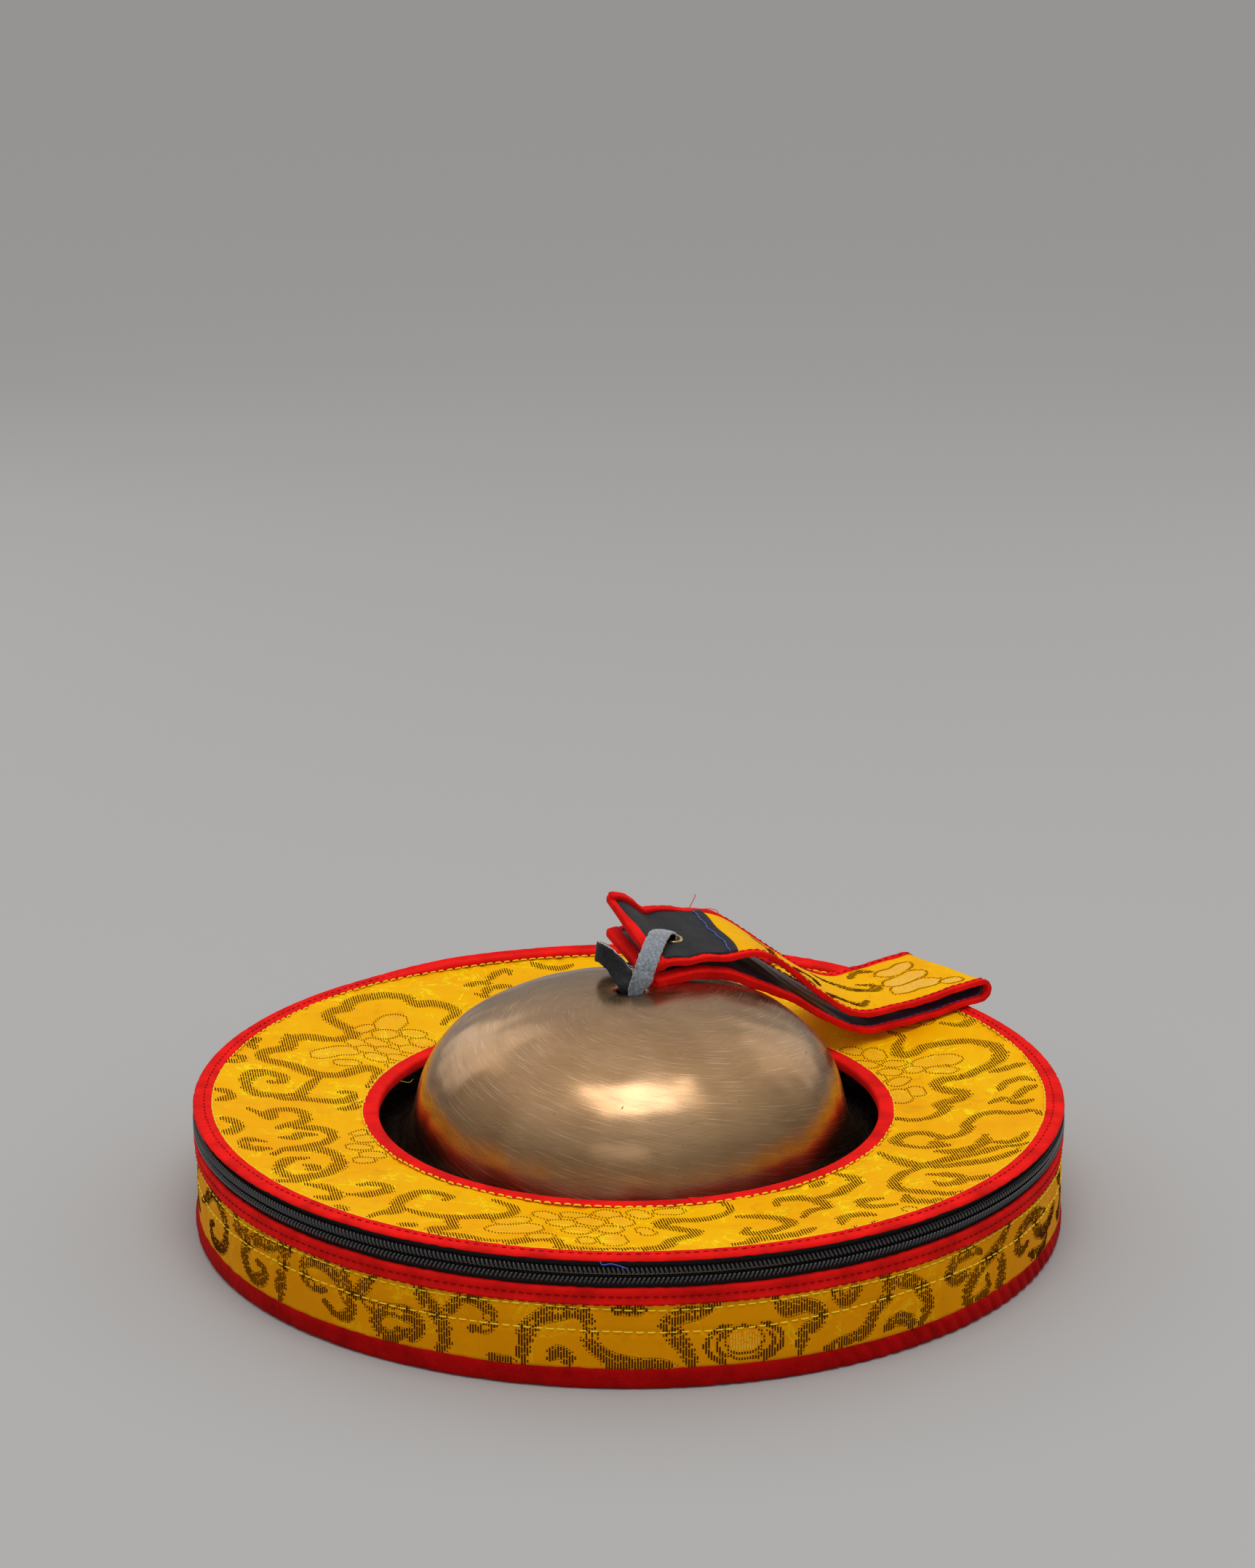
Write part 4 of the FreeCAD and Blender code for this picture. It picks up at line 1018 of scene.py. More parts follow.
def turned_band(name, profile, mat, body, nodes, slot, rough_r=0.0, rough_z=0.0, m=1200, seed=0,
                cy=0.0, pucker=0.0, count=275, lean=0.0, pleats=None, swell=0.0):
    """A closed band turned round the case from a profile of (r, z), with soft unevenness.

    swell is how much higher its top is at the back, where the hinge's cloth is folded under it.
    pleats are the two angles between which the tape is bunched up most.
    """
    p = np.asarray(profile, float)
    theta = np.linspace(-math.pi, math.pi, m, endpoint=False)
    mid = p.mean(axis=0)
    free = np.clip((p[:, 0] - mid[0]) / (np.ptp(p[:, 0]) / 2), 0, 1)
    up = np.clip((p[:, 1] - mid[1]) / (np.ptp(p[:, 1]) / 2), -1, 1)
    r = p[:, 0][None, :] + 0 * theta[:, None]
    z = p[:, 1][None, :] + 0 * theta[:, None]
    a = ripple(theta, seed, 12, 60)[:, None]
    b = ripple(theta, seed + 1, 70, 220)[:, None]
    r = r - rough_r * free[None, :] * (0.5 + 0.5 * np.abs(a * 0.6 + b * 0.5))
    z = z + rough_z * up[None, :] * (a * 0.4 + b * 0.4)
    behind = at_back(theta[:, None])
    z = z + swell * behind * np.clip(up, 0, 1)[None, :]
    inward = np.clip((mid[0] - p[:, 0]) / (np.ptp(p[:, 0]) / 2), 0, 1)
    r = r - 1.5 * swell * behind * inward[None, :]
    if pucker:
        tuck = 0.5 + 0.5 * np.cos(count * theta[:, None] + lean * up[None, :])
        depth = 0.3 * pucker
        if pleats:
            start, end = (math.radians(a) for a in pleats)
            most = smooth01((theta - start) / 0.15) * smooth01((end - theta) / 0.15)
            depth = pucker * (0.3 + 1.1 * most[:, None])
        r = r - depth * tuck ** 2 * free[None, :]
    verts = around(theta[:, None], r, z, 0.0, cy)
    return piece(name, loft(verts[:, ::-1], True), mat, body, slot, nodes)


def rounded(points, cuts=3):
    """Cuts the corners of a closed profile so that cloth edges are soft."""
    p = np.asarray(points, float)
    for _ in range(cuts):
        q = np.roll(p, -1, axis=0)
        p = np.stack([p * 0.78 + q * 0.22, p * 0.22 + q * 0.78], 1).reshape(-1, 2)
    return p


def make_bindings():
    rim = rounded([(143.6, 44.16), (147.4, 44.16), (147.4, 43.7), (149.9, 43.68), (150.0, 44.2),
                   (149.3, 44.85), (147.8, 44.98), (146.1, 44.72), (144.6, 44.95), (143.5, 44.8)], 2)
    turned_band("lid_rim_binding", rim, M_RED, "lid", ["lid_binding"], "red_cloth", 0.25, 0.10,
                seed=21, swell=1.5)
    hole_top = LID_LOW
    ring = rounded([(HOLE_R + 1.5, hole_top - 2.9), (HOLE_R + 0.3, hole_top - 2.6),
                    (HOLE_R, hole_top - 1.2), (HOLE_R + 0.15, hole_top + 0.4),
                    (HOLE_R + 0.9, hole_top + 0.95), (HOLE_R + 3.2, hole_top + 0.85),
                    (HOLE_R + 5.3, hole_top + 0.95), (HOLE_R + 5.7, hole_top + 0.35),
                    (HOLE_R + 4.4, hole_top + 0.1), (HOLE_R + 1.5, hole_top + 0.1)], 2)
    turned_band("hole_rim_binding", ring, M_RED, "lid", ["hole_binding"], "red_cloth", 0.0, 0.06,
                seed=23, cy=HOLE_Y)
    # the tape's end laps over its start at the front right
    theta = np.linspace(0.226, 0.262, 10)
    lap = rounded([(HOLE_R - 0.15, hole_top - 0.6), (HOLE_R - 0.15, hole_top + 0.6),
                   (HOLE_R + 0.9, hole_top + 1.5), (HOLE_R + 5.2, hole_top + 1.35),
                   (HOLE_R + 5.6, hole_top + 0.5), (HOLE_R + 1.2, hole_top + 0.3)], 2)
    spread = np.linspace(1.0, 0.55, 10)[:, None]
    low = hole_top + 0.3
    verts = around(theta[:, None], lap[:, 0][None, :], low + (lap[:, 1][None, :] - low) * spread,
                   0, HOLE_Y)
    piece("hole_binding_lap", loft(verts[:, ::-1]), M_RED, "lid", "red_cloth")

    band = rounded([(148.0, 28.8), (149.2, 28.55), (149.5, 29.3), (149.25, 30.6), (149.2, 31.6),
                    (149.6, 32.0), (149.95, 33.0), (149.8, 34.2), (149.0, 34.55), (148.0, 34.5)], 2)
    turned_band("zip_band_cloth", band, M_RED, "case", ["zip_band"], "red_cloth", 0.20, 0.12,
                seed=25)
    facing = rounded([(144.95, 33.05), (147.25, 33.05), (147.25, 34.1), (146.2, 34.6),
                      (144.95, 34.2)], 2)
    turned_band("wall_top_facing", facing, M_LINING, "case", [], "lining", 0.0, 0.08, m=600, seed=29)
    foot = rounded([(145.6, 0.05), (148.2, 0.02), (149.5, 0.5), (150.0, 1.9), (150.0, 4.6),
                    (149.7, 6.3), (149.0, 7.15), (147.6, 7.2), (145.6, 7.0)], 2)
    turned_band("foot_piping", foot, M_RED_SHADED, "case", ["bottom_piping"], "red_cloth", 0.30, 0.16,
                m=1800, seed=27, pucker=0.6, count=150, lean=2.2, pleats=(22, 78))


def stitch_ring(r, z, count, length, radius, seed, cy=0.0, up=True, jitter=0.0):
    """Stitches round the case. r and z are numbers or functions of the angle."""
    rng = np.random.default_rng(seed)
    theta = np.arange(count) / count * TAU - math.pi
    theta = theta + rng.uniform(-0.06, 0.06, count) * TAU / count
    rr = r(theta) if callable(r) else np.full(count, r)
    zz = z(theta) if callable(z) else np.full(count, z)
    rr = rr + rng.uniform(-jitter, jitter, count)
    centres = around(theta, rr, zz, 0, cy)
    along = np.stack([np.cos(theta), np.sin(theta), 0 * theta], -1)
    out = np.stack([np.sin(theta), -np.cos(theta), 0 * theta], -1)
    normal = np.array([0.0, 0.0, 1.0]) + 0 * out if up else out
    return stitch_row(centres, along, normal, length * rng.uniform(0.85, 1.1, count), radius)


def make_stitching():
    def rim_line(theta):
        return 143.2 - 2.25 * at_back(theta)

    gold_wall = []
    for seam, seed in ((upper_seam, 31), (lower_seam, 32)):
        def on_cloth(theta, seam=seam):
            return wall_radius(theta, seam(theta)) + 0.10
        gold_wall.append(stitch_ring(on_cloth, seam, 262, 2.9, 0.27, seed, up=False))
    gold_lid = [stitch_ring(HOLE_R + 5.6, 40.15, 172, 2.5, 0.28, 33, HOLE_Y, jitter=0.25),
                stitch_ring(rim_line, 44.40, 268, 2.6, 0.25, 34, jitter=0.12)]
    rim = [stitch_ring(146.0, 44.74, 300, 1.9, 0.20, 35, jitter=0.1)]
    band = [stitch_ring(149.26, 31.5, 330, 1.9, 0.20, 36, up=False),
            stitch_ring(149.2, 28.75, 276, 2.4, 0.18, 37, up=False)]
    for name, rings, mat, body, slot in (
            ("wall_stitches", gold_wall, M_GOLD, "case", "brocade"),
            ("lid_stitches", gold_lid, M_GOLD, "lid", "brocade"),
            ("lid_rim_seam", rim, M_SEAM, "lid", "red_cloth"),
            ("zip_band_seam", band, M_SEAM, "case", "red_cloth")):
        piece(name, merged(rings), mat, body, slot)


# ---- the zip ---------------------------------------------------------------------------------
ZIP_END = math.radians(147.5)
TAPE_END = math.radians(154.0)


def zip_teeth(theta, z_root, z_tip, lower):
    """One half of the coil: bent nylon rods from root, over the crown, to the head."""
    a = np.arange(8) / 8 * TAU
    t = np.array([0.0, 0.18, 0.45, 0.75, 0.93, 1.0])
    z = z_root + (z_tip - z_root) * t
    r = ZIP_R + np.array([-0.50, 0.10, 0.30, 0.34, 0.22, -0.10])
    slip = (np.array([-0.62, -0.52, -0.18, 0.22, 0.50, 0.58])) / ZIP_R
    wide = np.array([0.30, 0.54, 0.60, 0.60, 0.54, 0.30])
    tall = np.array([0.30, 0.50, 0.56, 0.58, 0.50, 0.24])
    across = (wide[:, None] * np.cos(a)[None, :])[None] / ZIP_R
    angle = theta[:, None, None] + slip[None, :, None] + across
    radius = (r[:, None] + tall[:, None] * np.sin(a)[None, :])[None] + 0 * theta[:, None, None]
    height = (z[:, None] + 0 * a[None, :])[None] + 0 * theta[:, None, None]
    rod = loft(np.zeros((6, 8, 3)))[1]
    if lower:
        rod = [f[::-1] for f in rod]
    return around(angle, radius, height).reshape(-1, 3), copies(rod, 48, len(theta))


def make_zip():
    pitch = 1.5
    count = int(2 * ZIP_END * ZIP_R / pitch)
    theta = (np.arange(count) - (count - 1) / 2) * pitch / ZIP_R
    for side, body, z_root, z_tip in (("lower", "case", 35.75, 38.45), ("upper", "lid", 41.85, 39.15)):
        piece(side + "_zip_teeth", zip_teeth(theta, z_root, z_tip, side == "lower"), M_COIL, body,
              "zip_coil", [side + "_zip_coil"])
    # sewing thread that holds each coil on its tape
    at = theta + 0.5 * pitch / ZIP_R
    out = np.stack([np.sin(at), -np.cos(at), 0 * at], -1)
    up = np.array([0.0, 0.0, 1.0]) + 0 * out
    for side, body, z in (("lower", "case", 36.6), ("upper", "lid", 41.2)):
        row = stitch_row(around(at, 149.42, z), up, out, 1.1, 0.17, sink=0.5)
        piece(side + "_coil_sewing", row, M_TAPE, body, "zip_tape")
    angle = np.linspace(-TAPE_END, TAPE_END, 900)[None, :]
    for side, body, low, high in (("lower", "case", 28.9, 38.45), ("upper", "lid", 39.15, 43.62)):
        z = np.linspace(low, high, 12)[:, None] + 0 * angle
        face = around(angle, 148.0 - 0.03 * np.cos(900 * angle) + 0 * z, z)
        back = around(angle, WALL_BACK_R, z)
        piece(side + "_zip_cloth", closed_sheet(face[::-1], back[::-1], False), M_TAPE, body,
              "zip_tape", [side + "_zip_tape"])


def make_hinge():
    """The red cloth that joins the wall to the lid across the back, as one piece."""
    start = math.radians(154.6)
    low, high = 34.7, 43.6
    angle = np.linspace(start, TAU - start, 260)[None, :]
    z = np.linspace(low, high, 22)[:, None] + 0 * angle
    arch = np.sin(math.pi * (z - low) / 8.9)
    bulge = 0.35 * arch + 0.14 * ripple(angle, 41, 30, 120) * arch
    fold = 0.25 * np.exp(-((z - 39.6 - 0.5 * np.sin(9 * angle)) / 0.5) ** 2)
    face = around(angle, 148.7 + bulge - fold, z)
    back = around(angle, 147.5 + 0.5 * bulge, z)
    cloth = build("hinge_cloth", *closed_sheet(face[::-1], back[::-1], False), M_RED)
    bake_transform(cloth)
    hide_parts("hinge_gusset", "lid_hinge_flap")
    return cloth


# ---- the cymbals -----------------------------------------------------------------------------
PLATE_R, PLATE_Z, RIM_RISE, NEST = 139.0, 24.5, 1.5, 18.5
BOSS_TOP, BOSS_R, BOSS_WALL = 81.9, 73.9, 34.6
BOSS_T, PLATE_T = 2.4, 1.4
FLARE = [(73.45, 44.5), (74.3, 41.0), (75.2, 37.5), (76.6, 33.5), (78.6, 29.6), (82.0, 26.6),
         (86.6, 25.1), (92.0, 24.5)]


def cymbal_outline():
    a = np.radians(np.arange(9, 80, 3.0))
    r = BOSS_R * np.sin(a) ** (2 / 2.27)
    z = BOSS_WALL + (BOSS_TOP - BOSS_WALL) * np.cos(a) ** (2 / 2.54)
    keep = (r > 9.2) & (z > 47.5)
    points = [(5.2, BOSS_TOP - 0.02)] + list(zip(r[keep], z[keep])) + FLARE
    line = curve_through(points, 1.6)
    plate = np.linspace(92.0, PLATE_R - 0.9, 26)[1:]
    level = PLATE_Z + RIM_RISE * (plate - 92.0) / (PLATE_R - 92.0)
    level = level + 0.10 * np.sin((plate - 92) / 3.3)      # turned ridges
    return np.concatenate([line, np.stack([plate, level], -1)])


def make_cymbal(name, node, drop, seed):
    """A cymbal of even bronze, thinner in its plate; drop is how far it sits below the upper one."""
    outer = cymbal_outline()
    along = unit(np.gradient(outer, axis=0))
    thin = BOSS_T + (PLATE_T - BOSS_T) * smooth01((outer[:, 0] - BOSS_R) / (92.0 - BOSS_R))
    inner = np.stack([outer[:, 0] + along[:, 1] * thin, outer[:, 1] - along[:, 0] * thin], -1)
    inner[0] = (5.2, BOSS_TOP - 2.4)
    lip = [(PLATE_R - 0.25, PLATE_Z + RIM_RISE - 0.12), (PLATE_R, PLATE_Z + RIM_RISE - 0.7),
           (PLATE_R - 0.25, PLATE_Z + RIM_RISE - 1.28)]
    hole = [(5.0, BOSS_TOP - 2.0), (4.9, BOSS_TOP - 1.0), (5.0, BOSS_TOP - 0.35)]
    loop = np.concatenate([outer, lip, inner[::-1], hole])
    theta = np.linspace(0, TAU, 420, endpoint=False)[:, None]
    r = loop[:, 0][None, :] + 0 * theta
    z = loop[:, 1][None, :] - drop + 0 * theta
    # hammered bronze is never quite true
    weight = smooth01((r - 12.0) / 25.0)
    x, y = r * np.sin(theta), r * np.cos(theta)
    dent = 0.10 * field(x, y, 26, seed) + 0.05 * field(x, y, 11, seed + 1)
    r = r + weight * dent * smooth01((z + drop - 24.0) / 20.0)
    z = z + weight * dent * 0.8
    piece(name, loft(around(theta, r, z, *CYMBAL), True), M_BRONZE, node, "bronze", [node])


# ---- the hand strap ----------------------------------------------------------------------------
STRAP_W, STRAP_YAW, STRAP_TIP = 42.0, math.radians(35.0), (128.9, 83.8)
STRAP_FRONT_END, STRAP_BACK_START, STRAP_BACK_END, FOLD_R = 146.0, 5.0, 137.0, 2.9
STRAP_EDGE = 3.0            # width of the tape on its long edges
# height below and above each bend, and the bend's two ends along the strap, front and back edge
RISES = {"upper": ((51.4, 88.0, 50.0, 112.0), (51.6, 92.0, 34.0, 110.0)),
         "lower": ((45.6, 83.8, 46.0, 126.0), (45.8, 88.4, 32.0, 116.0))}


def hump(s, at, wide):
    return np.exp(-((s - at) / wide) ** 2)


def strap_edge(layer, back, t):
    """A point of a strap edge: t is 0 at the fold and 1 at the ends."""
    t = np.asarray(t, float)
    near, far = (STRAP_BACK_START, STRAP_BACK_END) if back else (0.0, STRAP_FRONT_END)
    s = near + (far - near) * t
    x = STRAP_TIP[0] - s * math.cos(STRAP_YAW)
    y = STRAP_TIP[1] - s * math.sin(STRAP_YAW)
    if back:
        x = x - STRAP_W * math.sin(STRAP_YAW)
        y = y + STRAP_W * math.cos(STRAP_YAW)
    low, high, start, end = RISES[layer][1 if back else 0]
    z = low + (high - low) * smooth01((s - start) / (end - start))
    z = z + 1.9 * (1.0 - smooth01(s / 38.0))
    if layer == "upper":
        if back:
            z = z + 8.0 * smooth01((s - 122.0) / 14.0) - 2.3 * hump(s, 104.0, 9.0)
        else:
            z = z - 1.0 * hump(s, 130.5, 5.0) - 2.8 * hump(s, 112.0, 11.0)
    elif not back:
        z = z - 3.0 * smooth01((s - 84.0) / 20.0) + 1.0 * smooth01((s - 118.0) / 14.0)
    slow, quick = (2.0, 1.0) if back else (0.4, 2.7)
    wave = 0.12 * np.sin(s / 5.1 + slow) + 0.08 * np.sin(s / 2.3 + quick)
    return np.stack([x, y, z + wave * smooth01(s / 20.0)], -1)


def strap_lines():
    """Front and back edge lines from the upper layer's end, round the fold, to the lower's."""
    t = np.linspace(1, 0, 110)
    parts = {False: [strap_edge("upper", False, t)], True: [strap_edge("upper", True, t)]}
    heading = np.array([math.cos(STRAP_YAW), math.sin(STRAP_YAW), 0.0])
    up = np.array([0.0, 0.0, 1.0])
    for back in (False, True):
        top = parts[back][0][-1]
        bottom = strap_edge("lower", back, 0.0)
        mid, r = (top + bottom) / 2, (top[2] - bottom[2]) / 2
        a = np.radians(np.arange(15, 180, 15))[:, None]
        parts[back].append(mid + heading * np.sin(a) * FOLD_R + up * np.cos(a) * r)
        parts[back].append(strap_edge("lower", back, t[::-1]))
    return np.concatenate(parts[False]), np.concatenate(parts[True])


def strap_surface():
    """Grid points and normals of the strap's middle, stations by places across."""
    front, back = strap_lines()
    c = np.linspace(0, 1, 29)[None, :, None]
    grid = front[:, None, :] * (1 - c) + back[:, None, :] * c
    along = unit(np.gradient(grid, axis=0))
    normal = unit(np.cross(along, np.broadcast_to((back - front)[:, None, :], grid.shape)))
    cup = 0.35 * np.sin(math.pi * c) * (1 + 0 * grid[..., :1])
    s = np.arange(len(front))[:, None, None]
    soft = 0.12 * np.sin(s / 5.0 + 9 * c) + 0.08 * np.sin(s / 2.1 - 15 * c)
    return grid - normal * cup * 0.4 + normal * soft, normal


def across(grid, normal, at, lift):
    """Points at a place across the strap (0 to 1) and a height along its normal."""
    k = at * (grid.shape[1] - 1)
    i = int(min(k, grid.shape[1] - 2))
    f = k - i
    p = grid[:, i] * (1 - f) + grid[:, i + 1] * f
    return p + normal[:, i] * lift


def between(points, at):
    """Points of a line at fractional rows."""
    rows = np.arange(len(points))
    return np.stack([np.interp(at, rows, points[:, k]) for k in range(3)], -1)


def strap_sheet(grid, normal, under, over):
    """A closed skin between the strap's two tapes, under to over in height."""
    top, bottom = [], []
    for c in np.linspace(STRAP_EDGE / STRAP_W, 1 - STRAP_EDGE / STRAP_W, 25):
        top.append(across(grid, normal, c, over))
        bottom.append(across(grid, normal, c, under))
    return closed_sheet(np.array(top)[::-1], np.array(bottom)[::-1], False)


def edge_tape(grid, normal, side, seed, thick, broad):
    """Bias tape folded round a long edge of the strap.

    thick is its extra height at the upper end. broad is its extra width at the lower end, where
    its inner face stands up towards the upper layer.
    """
    row = np.arange(len(grid))
    low_end = np.exp(-((len(grid) - 1 - row) / 42.0) ** 2)[:, None]
    crown = 1.25 + thick * np.exp(-(row / 24.0) ** 2)[:, None]
    under = -0.75 - 0.75 * broad * low_end
    lo = (STRAP_EDGE + broad * low_end) / STRAP_W
    profile = rounded([(-0.012, -0.2), (-0.006, 1.0), (0.25, 1.05), (0.95, 0.95), (1.02, 0.6),
                       (1.0, -0.4), (0.9, -0.95), (0.25, -1.0), (-0.006, -0.8)], 2)
    out = []
    for c, h in profile:
        at = c * lo if side == 0 else 1 - c * lo
        lift = (crown + under) / 2 + h * (crown - under) / 2
        lift = lift + 0.05 * math.sin(7 * c + seed)
        out.append(grid[:, 0] * (1 - at) + grid[:, -1] * at + normal[:, -side] * lift)
    sections = np.array(out).transpose(1, 0, 2)
    n = len(sections)
    puff = 1.0 + 0.05 * np.sin(np.arange(n) * 0.83 + seed) + 0.04 * np.sin(np.arange(n) * 2.1)
    mid = sections.mean(axis=1, keepdims=True)
    sections = mid + (sections - mid) * puff[:, None, None]
    return loft(sections if side == 0 else sections[:, ::-1])


STRAP_SCROLLS = [
    (4.5, [(68, 8), (63, 12), (57, 11), (52, 8), (47, 10)]),
    (4.0, [(70, 26), (65, 30), (60, 27), (62, 21)]), (4.0, [(96, 14), (90, 20), (84, 18), (82, 12)]),
    (4.0, [(92, 30), (86, 34), (80, 31), (76, 36)]), (3.5, [(74, 12), (70, 18), (74, 24)]),
    (4.5, [(54, 35), (50, 29), (46, 23), (41, 20), (36, 19), (34, 23), (38, 27)]),
    (3.5, [(36, 34), (30, 37), (25, 34)]),
]
STRAP_PETALS = [
    (9.0, [(14, 12), (24, 14), (32, 12)]), (8.0, [(12, 22), (22, 21), (30, 20)]),
    (7.0, [(10, 32), (18, 29), (26, 30)]), (6.0, [(8, 8), (14, 8)]),
]


def patch_edge(c):
    """Row of the strap's grid where a leather patch ends, across the strap."""
    return 26.4 + 4.6 * c + 1.3 * np.sin(math.pi * c) + 0.5 * np.sin(9 * c)


def end_tape(grid, normal, row, step):
    """Bias tape over a cut end; step points from the end row into the strap."""
    places = np.linspace(0, 1, 44)
    line = np.array([across(grid, normal, c, 0.25)[row] for c in places])
    further = np.array([across(grid, normal, c, 0.25)[row + 6 * step] for c in places])
    inward = unit(further - line)
    face = np.array([normal[row, int(c * 28)] for c in places])
    profile = rounded([(-0.6, 0.0), (-0.4, 0.85), (0.6, 1.0), (4.2, 1.0), (4.9, 0.6), (4.6, -0.6),
                       (4.0, -1.0), (0.4, -1.0), (-0.4, -0.8)], 2)
    sections = np.array([line + inward * c + face * (0.35 + h * 1.75) for c, h in profile])
    sections = sections.transpose(1, 0, 2)
    return loft(sections if step > 0 else sections[:, ::-1])


def leather_patch(grid, normal, at_start):
    """The patch on one end, curved where it meets the brocade, and its stitches."""
    m = len(grid)
    lo, hi = STRAP_EDGE / STRAP_W, 1 - STRAP_EDGE / STRAP_W
    top, bottom = [], []
    for c in np.linspace(lo - 0.012, hi + 0.012, 25):
        at = np.linspace(0.6, patch_edge(c), 40)
        if not at_start:
            at = m - 1 - at[::-1]
        top.append(between(across(grid, normal, c, 1.75), at))
        bottom.append(between(across(grid, normal, c, 1.0), at))
    skin = closed_sheet(np.array(top)[::-1], np.array(bottom)[::-1], False)
    # the stitches run in waves beside the curved edge
    c = np.linspace(lo + 0.01, hi - 0.01, 15)
    last = patch_edge(c) - 2.6 - 0.8 * c + 0.35 * np.sin(31 * c)
    at = last if at_start else m - 1 - last
    points = np.array([between(across(grid, normal, cc, 1.82), row) for cc, row in zip(c, at)])
    mid, along = (points[1:] + points[:-1]) / 2, points[1:] - points[:-1]
    face = np.array([normal[int(r), int(k * 28)] for r, k in zip(at[1:], c[1:])])
    length = np.linalg.norm(along, axis=1) * 0.97
    return skin, stitch_row(mid, along, face, length, 0.17, 0.2)


def make_strap():
    grid, normal = strap_surface()
    body = "upper_strap"
    band = piece("strap_brocade", strap_sheet(grid, normal, 0.0, 0.95), M_STRAP, body, "brocade",
                 ["upper_strap_band"])
    lining = piece("strap_lining", strap_sheet(grid, normal, -0.6, -0.04), M_PLUM, body, "lining",
                   ["upper_strap_lining"])
    for side, word in ((0, "front"), (1, "back")):
        tape = edge_tape(grid, normal, side, side * 3.0, 0.3 + 2.0 * side, 2.4 * (1 - side))
        piece("strap_" + word + "_tape", tape, M_RED, body, "red_cloth",
              ["upper_strap_" + word + "_binding"])
    for word, row, step in (("upper", 0, 1), ("lower", len(grid) - 1, -1)):
        piece("strap_" + word + "_end_tape", end_tape(grid, normal, row, step), M_RED, body,
              "red_cloth")
    for word in ("top", "bottom"):
        skin, stitches = leather_patch(grid, normal, word == "top")
        piece("strap_patch_" + word, skin, M_BLACK, body, "dark_leather", ["upper_patch_" + word])
        piece("strap_patch_stitches_" + word, stitches, M_BLUE, body, "dark_leather")
    make_strap_pattern(grid, normal)
    make_strap_stitches(grid, normal)
    make_eyelets(grid, normal)
    return band, lining


def make_strap_pattern(grid, normal):
    rows = np.arange(len(grid))
    steps = np.linalg.norm(np.diff(grid[:, 14], axis=0), axis=1)
    length = np.concatenate([[0], np.cumsum(steps)])

    def place(s, w, h):
        """s runs from the fold along the upper layer (+) or the lower layer (-)."""
        at = np.interp(length[-1] / 2 - s, length, rows)
        k = np.clip(w / STRAP_W, 0, 1) * (grid.shape[1] - 1)
        i = np.clip(at.astype(int), 0, len(grid) - 2)
        j = np.clip(k.astype(int), 0, grid.shape[1] - 2)
        fi, fj = (at - i)[:, None], (k - j)[:, None]
        p = (grid[i, j] * (1 - fi) * (1 - fj) + grid[i + 1, j] * fi * (1 - fj)
             + grid[i, j + 1] * (1 - fi) * fj + grid[i + 1, j + 1] * fi * fj)
        lift = 0.95 + np.asarray(h)
        return p + normal[i, j] * (lift[..., None] if lift.ndim else lift)

    def inside(s, w):
        return (w > 3.6) & (w < STRAP_W - 3.6) & (np.abs(s) < 112)

    def on_both_layers(strokes):
        return strokes + [(w, [(-s, v) for s, v in p]) for w, p in strokes]

    skin, tones = woven(on_both_layers(STRAP_SCROLLS), on_both_layers(STRAP_PETALS),
                        math.radians(75), (-118, 118, 3, 39), inside, place, 7)
    piece("strap_brocade_pattern", skin, [M_BROWN, M_CREAM, M_DOTTED], "upper_strap", "brocade",
          tones=tones, smooth=False)


def make_strap_stitches(grid, normal):
    """A row along each long edge, red on the outside and violet on the lining."""
    parts = {"violet": [], "seam": []}
    m = len(grid)
    for at in (2.1 / STRAP_W, 1 - 2.1 / STRAP_W):
        for lift, sign, key in ((1.32, 1, "seam"), (-0.82, -1, "violet")):
            p = across(grid, normal, at, lift)
            step = np.concatenate([[0], np.cumsum(np.linalg.norm(np.diff(p, axis=0), axis=1))])
            pos = np.arange(3.0, step[-1] - 2, 3.2)
            points = np.stack([np.interp(pos, step, p[:, k]) for k in range(3)], -1)
            i = np.interp(pos, step, np.arange(m)).astype(int)
            along = p[np.minimum(i + 1, m - 1)] - p[np.maximum(i - 1, 0)]
            parts[key].append(stitch_row(points, along, normal[i, 2] * sign, 1.9, 0.16, 0.2))
    for key, mat in (("violet", M_VIOLET), ("seam", M_SEAM)):
        piece("strap_" + key + "_stitches", merged(parts[key]), mat, "upper_strap", "red_cloth")


def eyelet_place(grid, normal, node):
    """Where an eyelet stands on the outside of its patch, and which way it faces."""
    lo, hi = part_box(node)
    centre = np.array((lo + hi) / 2) / MM
    face = grid + normal * 1.75
    row, col = np.unravel_index(np.argmin(np.linalg.norm(face - centre, axis=-1)), face.shape[:2])
    n = normal[row, col]
    return centre + n * (n @ (face[row, col] - centre)), n


def make_eyelets(grid, normal):
    profile = rounded([(2.25, -1.9), (2.75, -1.9), (2.8, -0.2), (3.5, -0.15), (3.7, 0.15),
                       (3.2, 0.5), (2.6, 0.45), (2.2, 0.05)], 2)
    turn = np.linspace(0, TAU, 48, endpoint=False)[:, None]
    for word in ("top", "bottom"):
        node = "upper_eyelet_" + word
        centre, n = eyelet_place(grid, normal, node)
        a = unit(np.cross(n, [0.3, 1.0, 0.2]))
        b = np.cross(n, a)
        out = a[None, None] * np.cos(turn)[..., None] + b[None, None] * np.sin(turn)[..., None]
        verts = centre + out * profile[:, 0][None, :, None] + n * profile[:, 1][None, :, None]
        piece("eyelet_" + word, loft(verts[:, ::-1], True), M_EYELET, "upper_strap", "eyelet_brass",
              [node])


